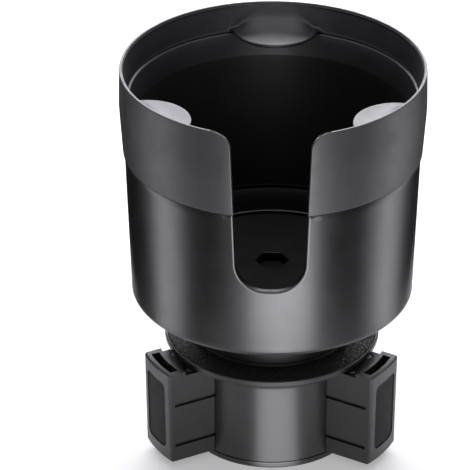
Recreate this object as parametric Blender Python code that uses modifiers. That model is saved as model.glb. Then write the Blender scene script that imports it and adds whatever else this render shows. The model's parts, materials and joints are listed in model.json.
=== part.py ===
"""Cup holder expander: a turning cup with a handle notch and a soft grip ring, on a base with sliding legs.

Turning the cup turns a scroll plate in the base. Its spiral grooves push the legs in and out.
Units are metres. The base stands on z = 0, the turning axis is Z, and the handle notch faces -Y.
The model is at rest with the legs fully out.
"""

import math

import bmesh
import bpy
from mathutils import Matrix

# Clearances
SEAT = 0.0003          # between pieces that touch on the real object
SLIDE = 0.0003         # each side of a piece that slides or turns

# Base casing
BASE_RADIUS = 0.0306
BASE_WALL = 0.0025
COVER_THICK = 0.0024
FLANGE_RADIUS = 0.0391
FLANGE_TOP = 0.0407
FLANGE_THICK = 0.0011
LIP_WIDTH = 0.0007
LIP_HEIGHT = 0.0011
FLARE_HEIGHT = 0.0065
TOP_PAD_THICK = 0.0007
WEB_WALL = 0.0016
DECK_THICK = 0.0019

# Legs
LEG_COUNT = 3
LEG_REACH = 0.0485     # radius of the outer faces with the legs out
LEG_TRAVEL = 0.014
LEG_HALF_WIDTH = 0.0096
LEG_DRAFT = 0.0006
LEG_CORNER = 0.0007
BLOCK_INNER = 0.042
BLOCK_WALL = 0.0013
BLOCK_STEP = 0.0015    # height of the outer block over the arm
SLOT_WIDTH = 0.0031
SLOT_HALF_LENGTH = 0.0074
SLOT_FLOOR = 0.009
ARM_INNER = 0.0225
CHEEK_THICK = 0.0023
ARM_WEB = 0.002
GUIDE_HEIGHTS = (0.0094, 0.0262)
GUIDE_SLOT_HEIGHT = 0.0014
GUIDE_SLOT_DEPTH = 0.0011
GUIDE_STOP = 0.0009    # guide slot left past the rib when the leg is fully in
PAD_HALF_WIDTH = 0.00635
PAD_BOTTOM = 0.0078
PAD_TOP = 0.0342
PAD_CORNER = 0.002
PAD_THICK = 0.00065
PAD_INSET = 0.0003

# Scroll plate, follower pins and the main bolt
TURN = math.radians(150.0)
PIN_RADIUS = 0.00125
PIN_PLACE = 0.025
PLATE_RIM = 0.00105
PLATE_THICK = 0.0033
GROOVE_DEPTH = 0.0023
CARRIER_THICK = 0.002
CARRIER_END = 0.039
ARM_SCREW_PLACE = 0.037
ARM_SCREW_SIDE = 0.006
ARM_SCREW_HEAD = 0.0015
ARM_SCREW_SHANK = 0.0008
ARM_SCREW_LENGTH = 0.0045
BOLT_RADIUS = 0.003
BOLT_FLATS = 0.010
BOLT_HEAD = 0.004
NUT_HEIGHT = 0.005
NUT_INSET = 0.0006
WASHER_RADIUS = 0.0061
WASHER_THICK = 0.001
THRUST_THICK = 0.00055
POST_RADIUS = 0.0062
NUT_BOSS_RADIUS = 0.008
NUT_BOSS_ROOF = 0.002
KEY_FLATS = 0.012
KEY_HEIGHT = 0.0027

# Screws of the cover and the neck
SCREW_RADIUS = 0.0015
SCREW_HEAD_RADIUS = 0.0028
SCREW_HEAD_HEIGHT = 0.0014
SCREW_BOSS_RADIUS = 0.0038
COVER_SCREW_PLACE = 0.0215
COVER_SCREW_LENGTH = 0.0125
COVER_BOSS_RADIUS = 0.0044
COVER_BOSS_HEIGHT = 0.002
NECK_SCREW_PLACE = 0.019
NECK_SCREW_LENGTH = 0.0125

# Neck
NECK_RADIUS = 0.0288
NECK_WALL = 0.0018
NECK_FOOT_RADIUS = 0.0296
NECK_FOOT_HEIGHT = 0.0014
NECK_DECK = 0.002
HUB_RADIUS = 0.009
NECK_BOSS_LENGTH = 0.0125
NECK_RIB = 0.0016

# Collar round the rim. Its radii and heights are measured from the rim's edge.
RIM_TOP = 0.148
RIM_RADIUS = 0.0543
RIM_ROUND = 0.0015
COLLAR_HEIGHT = 0.032
COLLAR_CREASE_DROP = 0.014
COLLAR_BULGE = 0.0003
COLLAR_TAPER = 0.00095
COLLAR_WALL = 0.001
COLLAR_LIP = 0.0007    # thickness of the collar over the rim
EDGE_BREAK = 0.0003

# Cup, set back from the collar
CUP_BOTTOM = 0.059
COLLAR_STEP = 0.00055
CUP_TAPER = 0.00185
CUP_WALL = 0.00195
CUP_FLOOR = 0.0023
CUP_EDGE_ROUND = 0.0035
CUP_INNER_ROUND = 0.002
REBATE = 0.0008
LINER_WALL = 0.0012    # cup wall between the liner and the collar
FUNNEL_HEIGHT = 0.0091

# Handle notch
NOTCH_BOTTOM = 0.086
NOTCH_HALF_TOP = 0.01435
NOTCH_HALF_FOOT = 0.0123
NOTCH_FOOT_ROUND = 0.0105
NOTCH_RIM_ROUND = 0.0065
NOTCH_EDGE = 0.0005

# Grip liner and its tabs
LINER_DEPTH = 0.0103
LINER_THICK = 0.0009
TAB_COUNT = 3
TAB_REACH = 0.016
TAB_ROUND = 0.0127
TAB_ROOT_ROUND = 0.004
TAB_DROP = 0.008
TAB_THICK = 0.002
TAB_FLAT = 0.0074      # length of the tab before it sweeps up into the ring
TAB_SWEEP = 0.0062

# Inner floor
FLOOR_LEVEL = 0.070
DISH_WIDTH = 0.0137
MAT_DEPTH = 0.0015
DISH_RISE = 0.006
DISH_EDGE = 0.0012
FLOOR_THICK = 0.0022
SKIRT_OUTSIDE = 0.0067
SKIRT_THICK = 0.002
SOCKET_WALL = 0.0024

# Segments of round pieces
FINE = 72
MEDIUM = 48
SMALL = 16
TINY = 12

# Worked out from the sizes above
HOUSING_BOTTOM = COVER_THICK + SEAT
LEG_BOTTOM = COVER_THICK + SLIDE
FLANGE_UNDER = FLANGE_TOP - FLANGE_THICK
LEG_TOP = FLANGE_UNDER - SLIDE
ARM_TOP = LEG_TOP - BLOCK_STEP
BASE_BORE = BASE_RADIUS - BASE_WALL
WINDOW_HALF = LEG_HALF_WIDTH + SLIDE
SLOT_INNER = BLOCK_INNER + BLOCK_WALL
RIB_END = BASE_RADIUS - EDGE_BREAK
GUIDE_SLOT_END = RIB_END + LEG_TRAVEL + GUIDE_STOP
PLATE_BOTTOM = ARM_TOP + SLIDE
PLATE_TOP = PLATE_BOTTOM + PLATE_THICK
PLATE_RADIUS = PIN_PLACE + PIN_RADIUS + SLIDE + PLATE_RIM
GROOVE_HALF = PIN_RADIUS + SLIDE
PIN_TOP = PLATE_BOTTOM + GROOVE_DEPTH - SLIDE
WEB_UNDER = ARM_TOP - ARM_WEB
CARRIER_TOP = WEB_UNDER - SEAT
TOP_PAD_BOTTOM = FLANGE_TOP + SEAT
NECK_BOTTOM = TOP_PAD_BOTTOM + TOP_PAD_THICK + SLIDE
NECK_TOP = CUP_BOTTOM - SEAT
HUB_BOTTOM = PLATE_TOP + SEAT
BOLT_HOLE = BOLT_RADIUS + SLIDE
SCREW_HOLE = SCREW_RADIUS + SEAT
CUP_FLOOR_TOP = CUP_BOTTOM + CUP_FLOOR
CUP_WASHER_BOTTOM = CUP_FLOOR_TOP + SEAT
BOLT_HEAD_BOTTOM = CUP_WASHER_BOTTOM + WASHER_THICK + SEAT
NUT_WASHER_BOTTOM = NUT_INSET + NUT_HEIGHT + SEAT
NUT_POCKET_TOP = NUT_WASHER_BOTTOM + WASHER_THICK + SEAT
THRUST_BOTTOM = PLATE_BOTTOM - SLIDE - THRUST_THICK
POST_TOP = THRUST_BOTTOM - SEAT
COVER_BOSS_TOP = COVER_THICK + COVER_BOSS_HEIGHT
COLLAR_BOTTOM = RIM_TOP - COLLAR_HEIGHT
COLLAR_CREASE = RIM_TOP - COLLAR_CREASE_DROP
COLLAR_CREASE_RADIUS = RIM_RADIUS + COLLAR_BULGE
COLLAR_FOOT_RADIUS = RIM_RADIUS - COLLAR_TAPER
CUP_RADIUS_AT_COLLAR = COLLAR_FOOT_RADIUS - COLLAR_STEP
CUP_FOOT_RADIUS = CUP_RADIUS_AT_COLLAR - CUP_TAPER
CUP_INNER_RADIUS = CUP_FOOT_RADIUS - CUP_WALL
REBATE_FOOT = CUP_RADIUS_AT_COLLAR - REBATE
RIM_WALL_OUTER = RIM_RADIUS - COLLAR_WALL - SEAT
LINER_REBATE = RIM_WALL_OUTER - LINER_WALL
LINER_OUTER = LINER_REBATE - SEAT
LINER_INNER = LINER_OUTER - LINER_THICK
LINER_TOP = RIM_TOP - COLLAR_LIP - SEAT
LINER_BOTTOM = RIM_TOP - LINER_DEPTH
FUNNEL_BOTTOM = LINER_BOTTOM - FUNNEL_HEIGHT
TAB_TOP = RIM_TOP - TAB_DROP
TAB_TIP = LINER_INNER - TAB_REACH
TAB_FLAT_END = TAB_TIP + TAB_FLAT
MAT_RADIUS = CUP_INNER_RADIUS - DISH_WIDTH
DISH_TOP = FLOOR_LEVEL + DISH_RISE
SKIRT_RADIUS = MAT_RADIUS + SKIRT_OUTSIDE
SOCKET_RADIUS = BOLT_FLATS / math.sqrt(3) + SOCKET_WALL
LEG_ANGLES = [math.pi / 2 + 2 * math.pi * i / LEG_COUNT for i in range(LEG_COUNT)]
BETWEEN_LEGS = [angle + math.pi / LEG_COUNT for angle in LEG_ANGLES]
LEG_NAMES = ("back", "left", "right")
PAST = 0.02            # how far cutters run past the solids


# Scene, collections and materials

def clear_scene():
    for obj in list(bpy.data.objects):
        bpy.data.objects.remove(obj)


def collection(name):
    made = bpy.data.collections.new(name)
    bpy.context.scene.collection.children.link(made)
    return made


def material(name, colour, roughness, metallic=0.0):
    made = bpy.data.materials.new(name)
    made.use_nodes = True
    shader = made.node_tree.nodes["Principled BSDF"]
    shader.inputs["Base Color"].default_value = (*colour, 1.0)
    shader.inputs["Roughness"].default_value = roughness
    shader.inputs["Metallic"].default_value = metallic
    return made


clear_scene()
PARTS = collection("cup_holder_expander")
CUTTERS = collection("cutters")


# Modelling helpers

def new_object(name, mesh, home=CUTTERS):
    """A part, or a cutter or guide when its home is the cutters' collection."""
    obj = bpy.data.objects.new(name, mesh)
    home.objects.link(obj)
    if home is CUTTERS:
        obj.hide_render = True
        obj.display_type = "WIRE"
    return obj


def from_bmesh(name, bm, home=CUTTERS):
    mesh = bpy.data.meshes.new(name)
    bm.to_mesh(mesh)
    bm.free()
    return new_object(name, mesh, home)


def arc(centre, radius, start, end, steps):
    """Points on an arc, angles in degrees."""
    points = []
    for i in range(steps + 1):
        angle = math.radians(start + (end - start) * i / steps)
        points.append((centre[0] + radius * math.cos(angle), centre[1] + radius * math.sin(angle)))
    return points


def turned(name, profile, segments, home=PARTS, closed=True):
    """A body turned about Z from (radius, height) points that run down its outer side."""
    mesh = bpy.data.meshes.new(name)
    count = len(profile)
    edges = [(i, i + 1) for i in range(count - 1)]
    if closed:
        edges.append((count - 1, 0))
    mesh.from_pydata([(radius, 0.0, height) for radius, height in profile], edges, [])
    obj = new_object(name, mesh, home)
    screw = obj.modifiers.new("Turn", "SCREW")
    screw.axis = "Z"
    screw.angle = 2 * math.pi
    screw.steps = segments
    screw.render_steps = segments
    screw.use_merge_vertices = True
    screw.merge_threshold = 0.00001
    return obj


def ring(name, inner, outer, bottom, top, segments, home=PARTS):
    return turned(name, [(outer, top), (outer, bottom), (inner, bottom), (inner, top)], segments, home)


def plate(name, outline, bottom, top, home=CUTTERS):
    """A flat outline given thickness between two heights, as a mesh."""
    curve = bpy.data.curves.new(name, "CURVE")
    curve.dimensions = "2D"
    curve.fill_mode = "BOTH"
    curve.extrude = (top - bottom) / 2
    spline = curve.splines.new("POLY")
    spline.points.add(len(outline) - 1)
    for point, (x, y) in zip(spline.points, outline):
        point.co = (x, y, 0.0, 1.0)
    spline.use_cyclic_u = True
    flat = bpy.data.objects.new(name, curve)
    flat.location.z = (top + bottom) / 2
    bpy.context.scene.collection.objects.link(flat)
    bpy.context.view_layer.update()
    mesh = bpy.data.meshes.new_from_object(flat.evaluated_get(bpy.context.evaluated_depsgraph_get()))
    mesh.transform(flat.matrix_world)
    bpy.data.objects.remove(flat)
    bm = bmesh.new()
    bm.from_mesh(mesh)
    bmesh.ops.remove_doubles(bm, verts=bm.verts, dist=0.000001)
    bmesh.ops.recalc_face_normals(bm, faces=bm.faces)
    return from_bmesh(name, bm, home)


def block(name, x_range, y_range, z_range, home=CUTTERS):
    bm = bmesh.new()
    bmesh.ops.create_cube(bm, size=1.0)
    size = [high - low for low, high in (x_range, y_range, z_range)]
    middle = [(low + high) / 2 for low, high in (x_range, y_range, z_range)]
    bm.transform(Matrix.Translation(middle) @ Matrix.Diagonal((*size, 1.0)))
    return from_bmesh(name, bm, home)


def rod(name, radius, bottom, top, segments=SMALL, x=0.0, y=0.0, home=CUTTERS):
    bm = bmesh.new()
    bmesh.ops.create_cone(
        bm, cap_ends=True, segments=segments, radius1=radius, radius2=radius, depth=top - bottom,
        matrix=Matrix.Translation((x, y, (top + bottom) / 2)),
    )
    return from_bmesh(name, bm, home)


def hexagon(name, flats, bottom, top, home=CUTTERS):
    """A hexagonal prism with two corners on the X axis."""
    corner = flats / math.sqrt(3)
    outline = [(corner * math.cos(i * math.pi / 3), corner * math.sin(i * math.pi / 3)) for i in range(6)]
    return plate(name, outline, bottom, top, home)


def settle(obj):
    """Gives the object its evaluated mesh and clears its modifiers."""
    bpy.context.view_layer.update()
    mesh = bpy.data.meshes.new_from_object(obj.evaluated_get(bpy.context.evaluated_depsgraph_get()))
    obj.modifiers.clear()
    obj.data = mesh
    return obj


def around(name, base, angles, home=CUTTERS):
    """One object with a copy of the base at each angle about Z. The base goes."""
    settle(base)
    bm = bmesh.new()
    for angle in angles:
        copy = base.data.copy()
        copy.transform(Matrix.Rotation(angle, 4, "Z"))
        bm.from_mesh(copy)
        bpy.data.meshes.remove(copy)
    bpy.data.objects.remove(base)
    return from_bmesh(name, bm, home)


def boolean(obj, tool, operation):
    modifier = obj.modifiers.new(tool.name, "BOOLEAN")
    modifier.operation = operation
    modifier.object = tool
    modifier.solver = "EXACT"
    return obj


def cut(obj, *tools):
    for tool in tools:
        boolean(obj, tool, "DIFFERENCE")
    return obj


def join(obj, *tools):
    for tool in tools:
        boolean(obj, tool, "UNION")
    return obj


def common(obj, tool):
    return boolean(obj, tool, "INTERSECT")


def round_edges(obj, width, steps, wanted):
    """Rounds the sharp edges that pass the test on their middle."""
    settle(obj)
    bm = bmesh.new()
    bm.from_mesh(obj.data)
    edges = []
    for edge in bm.edges:
        if len(edge.link_faces) != 2 or edge.calc_face_angle() < math.radians(50):
            continue
        if wanted((edge.verts[0].co + edge.verts[1].co) / 2):
            edges.append(edge)
    bmesh.ops.bevel(bm, geom=edges, offset=width, segments=steps, profile=0.5, affect="EDGES")
    bm.to_mesh(obj.data)
    bm.free()
    return obj


def finish(obj, finish_material):
    """Settles a part, shades its round faces smooth and gives it its material."""
    settle(obj)
    obj.data.materials.clear()
    obj.data.materials.append(finish_material)
    obj.data.shade_smooth()
    obj.data.set_sharp_from_angle(angle=math.radians(30))
    return obj


# Materials

CUP_GLOSS = material("cup_gloss", (0.055, 0.055, 0.058), 0.28)
COLLAR_MATTE = material("collar_matte", (0.06, 0.06, 0.062), 0.55)
LINER_SOFT = material("liner_soft", (0.05, 0.05, 0.055), 0.6)
FLOOR_BLACK = material("floor_black", (0.02, 0.02, 0.021), 0.35)
NECK_BLACK = material("neck_black", (0.025, 0.025, 0.027), 0.45)
BASE_GLOSS = material("base_gloss", (0.05, 0.05, 0.053), 0.3)
GRAINED_BLACK = material("grained_black", (0.012, 0.012, 0.012), 0.6)
LEG_SATIN = material("leg_satin", (0.07, 0.07, 0.073), 0.5)
GRIP_RUBBER = material("grip_rubber", (0.03, 0.03, 0.032), 0.8)
ACETAL = material("acetal", (0.6, 0.6, 0.58), 0.4)
STEEL = material("steel", (0.6, 0.6, 0.62), 0.3, 1.0)


# Screws, washers and the main bolt

def pan_screws(name, angles, place, head_bottom, length, head_up):
    """A ring of pan-head screws with flat ends, heads up or down, one object each."""
    way = 1.0 if head_up else -1.0
    head_top = head_bottom + way * SCREW_HEAD_HEIGHT
    tip = head_bottom - way * length
    profile = [
        (0.0, head_top),
        (SCREW_HEAD_RADIUS - 2 * EDGE_BREAK, head_top),
        (SCREW_HEAD_RADIUS, head_top - way * 2 * EDGE_BREAK),
        (SCREW_HEAD_RADIUS, head_bottom),
        (SCREW_RADIUS, head_bottom),
        (SCREW_RADIUS, tip + way * EDGE_BREAK),
        (SCREW_RADIUS - EDGE_BREAK, tip),
        (0.0, tip),
    ]
    if not head_up:
        profile.reverse()
    model = finish(turned(name, profile, SMALL, CUTTERS, closed=False), STEEL)
    for i, angle in enumerate(angles):
        screw = new_object("%s_%d" % (name, i + 1), model.data, PARTS)
        screw.location = (place * math.cos(angle), place * math.sin(angle), 0.0)
    bpy.data.objects.remove(model)


def make_cover_screws():
    head_bottom = SEAT + SCREW_HEAD_HEIGHT
    pan_screws("cover_screw", BETWEEN_LEGS, COVER_SCREW_PLACE, head_bottom, COVER_SCREW_LENGTH, False)


def make_neck_screws():
    head_bottom = CUP_FLOOR_TOP + SEAT
    pan_screws("neck_screw", BETWEEN_LEGS, NECK_SCREW_PLACE, head_bottom, NECK_SCREW_LENGTH, True)


def make_clamp_bolt():
    bolt = hexagon("clamp_bolt", BOLT_FLATS, BOLT_HEAD_BOTTOM, BOLT_HEAD_BOTTOM + BOLT_HEAD, PARTS)
    shank_bottom = NUT_INSET + EDGE_BREAK
    join(bolt, rod("bolt_shank", BOLT_RADIUS, shank_bottom, BOLT_HEAD_BOTTOM + BOLT_HEAD / 2))
    return finish(bolt, STEEL)


def make_lock_nut():
    nut = hexagon("lock_nut", BOLT_FLATS, NUT_INSET, NUT_INSET + NUT_HEIGHT, PARTS)
    cut(nut, rod("nut_bore", BOLT_HOLE, -PAST, PAST))
    return finish(nut, STEEL)


def make_washers():
    for name, radius, bottom, thick, finish_material in (
        ("bolt_washer", WASHER_RADIUS, CUP_WASHER_BOTTOM, WASHER_THICK, STEEL),
        ("nut_washer", WASHER_RADIUS, NUT_WASHER_BOTTOM, WASHER_THICK, STEEL),
        ("thrust_washer", POST_RADIUS, THRUST_BOTTOM, THRUST_THICK, ACETAL),
    ):
        finish(ring(name, BOLT_HOLE, radius, bottom, bottom + thick, 2 * TINY), finish_material)


# Base cover with its centre post

def make_base_cover():
    profile = [
        (POST_RADIUS, POST_TOP),
        (POST_RADIUS, NUT_POCKET_TOP + NUT_BOSS_ROOF),
        (NUT_BOSS_RADIUS, NUT_POCKET_TOP + NUT_BOSS_ROOF),
        (NUT_BOSS_RADIUS, COVER_THICK),
        (BASE_RADIUS - EDGE_BREAK, COVER_THICK),
        (BASE_RADIUS, COVER_THICK - EDGE_BREAK),
        (BASE_RADIUS, EDGE_BREAK),
        (BASE_RADIUS - EDGE_BREAK, 0.0),
        (WASHER_RADIUS + SEAT, 0.0),
        (WASHER_RADIUS + SEAT, NUT_POCKET_TOP),
        (BOLT_HOLE, NUT_POCKET_TOP),
        (BOLT_HOLE, POST_TOP),
    ]
    cover = turned("base_cover", profile, MEDIUM)
    bosses = rod("cover_bosses", COVER_BOSS_RADIUS, COVER_THICK / 2, COVER_BOSS_TOP, x=COVER_SCREW_PLACE)
    seat_top = 2 * SEAT + SCREW_HEAD_HEIGHT
    seats = rod("cover_seats", SCREW_HEAD_RADIUS + SEAT, -PAST, seat_top, x=COVER_SCREW_PLACE)
    holes = rod("cover_holes", SCREW_HOLE, -PAST, PAST, x=COVER_SCREW_PLACE)
    join(cover, around("cover_bosses", bosses, BETWEEN_LEGS))
    cut(cover, around("cover_seats", seats, BETWEEN_LEGS), around("cover_holes", holes, BETWEEN_LEGS))
    return finish(cover, BASE_GLOSS)


# Housing

def wedge(offset, radius, steps=8):
    """Outline between two leg channels, X along the bisector. The offset is from the legs' axes."""
    half = math.pi / LEG_COUNT
    along = math.sqrt(radius ** 2 - offset ** 2)
    side = math.degrees(half) - math.degrees(math.atan2(offset, along))
    return [(offset / math.sin(half), 0.0)] + arc((0.0, 0.0), radius, -side, side, steps)


def make_housing():
    flange_edge = FLANGE_RADIUS - EDGE_BREAK
    flare_base = FLANGE_UNDER - FLARE_HEIGHT
    flare = [
        (flange_edge - (flange_edge - BASE_RADIUS) * math.sin(t), flare_base + FLARE_HEIGHT * math.cos(t))
        for t in (math.radians(18 * i) for i in range(6))
    ]
    profile = [
        (FLANGE_RADIUS - LIP_WIDTH, FLANGE_TOP + LIP_HEIGHT),
        (flange_edge, FLANGE_TOP + LIP_HEIGHT),
        (FLANGE_RADIUS, FLANGE_TOP + LIP_HEIGHT - EDGE_BREAK),
        (FLANGE_RADIUS, FLANGE_UNDER + EDGE_BREAK),
    ] + flare + [
        (BASE_RADIUS, HOUSING_BOTTOM),
        (BASE_BORE, HOUSING_BOTTOM),
        (BASE_BORE, FLANGE_TOP),
        (FLANGE_RADIUS - LIP_WIDTH, FLANGE_TOP),
    ]
    housing = turned("housing", profile, FINE)
    overlap = BASE_WALL / 4
    webs = plate("webs", wedge(WINDOW_HALF - overlap, BASE_BORE + overlap), HOUSING_BOTTOM, ARM_TOP)
    join(housing, around("webs", webs, BETWEEN_LEGS))
    for name, angle in zip(LEG_NAMES, LEG_ANGLES):
        window = block("window_" + name, (0.0, LEG_REACH), (-WINDOW_HALF, WINDOW_HALF), (-PAST, FLANGE_UNDER))
        window.data.transform(Matrix.Rotation(angle, 4, "Z"))
        cut(housing, window)
    rib_offset = LEG_HALF_WIDTH - GUIDE_SLOT_DEPTH + SLIDE
    rib_half = GUIDE_SLOT_HEIGHT / 2 - SLIDE
    for i, height in enumerate(GUIDE_HEIGHTS):
        rib = plate("ribs_%d" % i, wedge(rib_offset, RIB_END), height - rib_half, height + rib_half)
        join(housing, around(rib.name, rib, BETWEEN_LEGS))
    pocket_outline = wedge(WINDOW_HALF + WEB_WALL, BASE_BORE + SEAT)
    pockets = plate("pockets", pocket_outline, -PAST, ARM_TOP - DECK_THICK)
    cut(housing, around("pockets", pockets, BETWEEN_LEGS))
    boss_bottom = COVER_BOSS_TOP + SEAT
    bosses = rod("bosses", SCREW_BOSS_RADIUS, boss_bottom, ARM_TOP - DECK_THICK / 2, x=COVER_SCREW_PLACE)
    pilots = rod("pilots", SCREW_HOLE, -PAST, COVER_SCREW_LENGTH + 2 * SCREW_HEAD_HEIGHT, x=COVER_SCREW_PLACE)
    join(housing, around("bosses", bosses, BETWEEN_LEGS))
    cut(housing, around("pilots", pilots, BETWEEN_LEGS))
    return finish(housing, BASE_GLOSS)


def make_top_pad():
    outer = FLANGE_RADIUS - LIP_WIDTH - SEAT
    inner = BASE_BORE + SEAT
    pad = ring("top_pad", inner, outer, TOP_PAD_BOTTOM, TOP_PAD_BOTTOM + TOP_PAD_THICK, FINE)
    return finish(pad, GRAINED_BLACK)


# Legs, in their own frame: X is outwards

def drafted_disc(name, radius):
    """A guide for outer faces that lean in towards the bottom by the legs' draft."""
    lean = LEG_DRAFT / (LEG_TOP - LEG_BOTTOM)
    top = LEG_TOP + PAST
    bottom = LEG_BOTTOM - PAST
    profile = [
        (0.0, top),
        (radius + lean * PAST, top),
        (radius - LEG_DRAFT - lean * PAST, bottom),
        (0.0, bottom),
    ]
    return turned(name, profile, FINE, CUTTERS, closed=False)


def rounded_panel(name, half_width, bottom, top, corner, x_range):
    """A panel with round corners in the YZ plane, thick along X."""
    outline = []
    for side, height, start in ((1, 1, 0), (-1, 1, 90), (-1, -1, 180), (1, -1, 270)):
        y = side * (half_width - corner)
        z = top - corner if height > 0 else bottom + corner
        outline += arc((y, z), corner, start, start + 90, 4)
    panel = plate(name, outline, *x_range)
    panel.data.transform(Matrix(((0, 0, 1, 0), (1, 0, 0, 0), (0, 1, 0, 0), (0, 0, 0, 1))))
    return panel


def arc_band(inner, outer, half_width, steps=6):
    """Outline between two arcs about the origin, cut off at the half width on each side."""
    inner_side = math.degrees(math.asin(half_width / inner))
    outer_side = math.degrees(math.asin(half_width / outer))
    centre = (0.0, 0.0)
    near = arc(centre, inner, inner_side, -inner_side, steps)
    return near + arc(centre, outer, -outer_side, outer_side, steps)


def guide_slots():
    """Both guide slots on both cheeks, open at the arm's inner end."""
    bm = bmesh.new()
    for height in GUIDE_HEIGHTS:
        for side in (-1, 1):
            near = side * (LEG_HALF_WIDTH - GUIDE_SLOT_DEPTH)
            y_range = sorted((near, near + side * PAST))
            z_range = (height - GUIDE_SLOT_HEIGHT / 2, height + GUIDE_SLOT_HEIGHT / 2)
            slot = block("slot", (ARM_INNER - PAST, GUIDE_SLOT_END), y_range, z_range)
            bm.from_mesh(slot.data)
            bpy.data.objects.remove(slot)
    return from_bmesh("guide_slots", bm)


def arm_screw_holes(name, radius, bottom, top):
    bm = bmesh.new()
    for side in (-1, 1):
        hole = rod("hole", radius, bottom, top, x=ARM_SCREW_PLACE, y=side * ARM_SCREW_SIDE)
        bm.from_mesh(hole.data)
        bpy.data.objects.remove(hole)
    return from_bmesh(name, bm)


def make_leg_mesh():
    leg = block(
        "leg", (ARM_INNER, LEG_REACH + PAST), (-LEG_HALF_WIDTH, LEG_HALF_WIDTH), (LEG_BOTTOM, LEG_TOP),
    )
    common(leg, drafted_disc("leg_face", LEG_REACH))
    outer = BLOCK_INNER + BLOCK_WALL + SLOT_WIDTH
    round_edges(leg, LEG_CORNER, 3, lambda middle: middle.x > outer)
    cut(leg, rod("arm_step", BLOCK_INNER, ARM_TOP, LEG_TOP + PAST, segments=FINE))
    inside = LEG_HALF_WIDTH - CHEEK_THICK
    channel_end = math.sqrt(BLOCK_INNER ** 2 - inside ** 2)
    cut(leg, block("channel", (ARM_INNER - PAST, channel_end), (-inside, inside), (-PAST, WEB_UNDER)))
    slot_outline = arc_band(SLOT_INNER, SLOT_INNER + SLOT_WIDTH, SLOT_HALF_LENGTH)
    cut(leg, plate("top_slot", slot_outline, SLOT_FLOOR, LEG_TOP + PAST))
    recess = rounded_panel(
        "recess", PAD_HALF_WIDTH + SEAT, PAD_BOTTOM - SEAT, PAD_TOP + SEAT, PAD_CORNER + SEAT,
        (SLOT_INNER, LEG_REACH + PAST),
    )
    cut(recess, drafted_disc("recess_floor", LEG_REACH - PAD_INSET - PAD_THICK - SEAT))
    cut(leg, recess, guide_slots())
    cut(leg, rod("pin_hole", PIN_RADIUS + SEAT, WEB_UNDER - SEAT, PAST + ARM_TOP, x=PIN_PLACE))
    shank_hole = ARM_SCREW_SHANK + SEAT
    cut(leg, arm_screw_holes("arm_screw_holes", shank_hole, WEB_UNDER - SEAT, ARM_TOP + PAST))
    cut(leg, arm_screw_holes("arm_screw_seats", ARM_SCREW_HEAD + SEAT, ARM_TOP - ARM_WEB / 2, ARM_TOP + PAST))
    return finish(leg, LEG_SATIN)


def make_leg_pad_mesh():
    span = (SLOT_INNER, LEG_REACH + PAST)
    pad = rounded_panel("leg_pad", PAD_HALF_WIDTH, PAD_BOTTOM, PAD_TOP, PAD_CORNER, span)
    common(pad, drafted_disc("pad_face", LEG_REACH - PAD_INSET))
    cut(pad, drafted_disc("pad_back", LEG_REACH - PAD_INSET - PAD_THICK))
    return finish(pad, GRIP_RUBBER)


def make_carrier_mesh():
    inside = LEG_HALF_WIDTH - CHEEK_THICK - SEAT
    under = CARRIER_TOP - CARRIER_THICK
    carrier = block("pin_carrier", (ARM_INNER + SEAT, CARRIER_END), (-inside, inside), (under, CARRIER_TOP))
    join(carrier, rod("pin", PIN_RADIUS, under + CARRIER_THICK / 2, PIN_TOP, x=PIN_PLACE))
    cut(carrier, arm_screw_holes("carrier_holes", ARM_SCREW_SHANK + SEAT, 0.0, LEG_TOP))
    return finish(carrier, ACETAL)


def make_arm_screw_mesh():
    head_top = ARM_TOP - EDGE_BREAK / 2
    head_under = ARM_TOP - ARM_WEB / 2 + SEAT
    tip = head_top - ARM_SCREW_LENGTH
    profile = [
        (0.0, head_top),
        (ARM_SCREW_HEAD, head_top),
        (ARM_SCREW_HEAD, head_under),
        (ARM_SCREW_SHANK, head_under),
        (ARM_SCREW_SHANK, tip),
        (0.0, tip),
    ]
    screw = turned("arm_screw", profile, TINY, CUTTERS, closed=False)
    settle(screw).data.transform(Matrix.Translation((ARM_SCREW_PLACE, 0.0, 0.0)))
    return finish(screw, STEEL)


def make_legs():
    """Three legs that share their meshes. Each set hangs on an empty on its slide axis."""
    models = (make_leg_mesh(), make_leg_pad_mesh(), make_carrier_mesh())
    screw = make_arm_screw_mesh()
    for name, angle in zip(LEG_NAMES, LEG_ANGLES):
        axis = bpy.data.objects.new("slide_axis_" + name, None)
        axis.rotation_euler.z = angle
        PARTS.objects.link(axis)
        for model in models:
            piece = new_object("%s_%s" % (model.name, name), model.data, PARTS)
            piece.parent = axis
        for i, side in enumerate((-1, 1)):
            piece = new_object("%s_%s_%d" % (screw.name, name, i + 1), screw.data, PARTS)
            piece.location.y = side * ARM_SCREW_SIDE
            piece.parent = axis
    for model in models + (screw,):
        bpy.data.objects.remove(model)


# Scroll plate

def spiral_outline(start_angle, half_width, steps=24):
    """Outline of a groove whose middle line runs inwards by the legs' travel over the full turn."""
    middle = []
    for i in range(steps + 1):
        t = i / steps
        angle = start_angle - TURN * t
        radius = PIN_PLACE - LEG_TRAVEL * t
        middle.append((radius * math.cos(angle), radius * math.sin(angle)))
    left = []
    right = []
    for i, (x, y) in enumerate(middle):
        before = middle[max(i - 1, 0)]
        after = middle[min(i + 1, steps)]
        heading = math.atan2(after[1] - before[1], after[0] - before[0])
        left.append((x - half_width * math.sin(heading), y + half_width * math.cos(heading)))
        right.append((x + half_width * math.sin(heading), y - half_width * math.cos(heading)))
    first = math.degrees(math.atan2(middle[1][1] - middle[0][1], middle[1][0] - middle[0][0]))
    last = math.degrees(math.atan2(middle[-1][1] - middle[-2][1], middle[-1][0] - middle[-2][0]))
    nose = arc(middle[-1], half_width, last + 90, last - 90, 8)
    tail = arc(middle[0], half_width, first - 90, first - 270, 8)
    return left[1:-1] + nose + right[-2:0:-1] + tail


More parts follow.
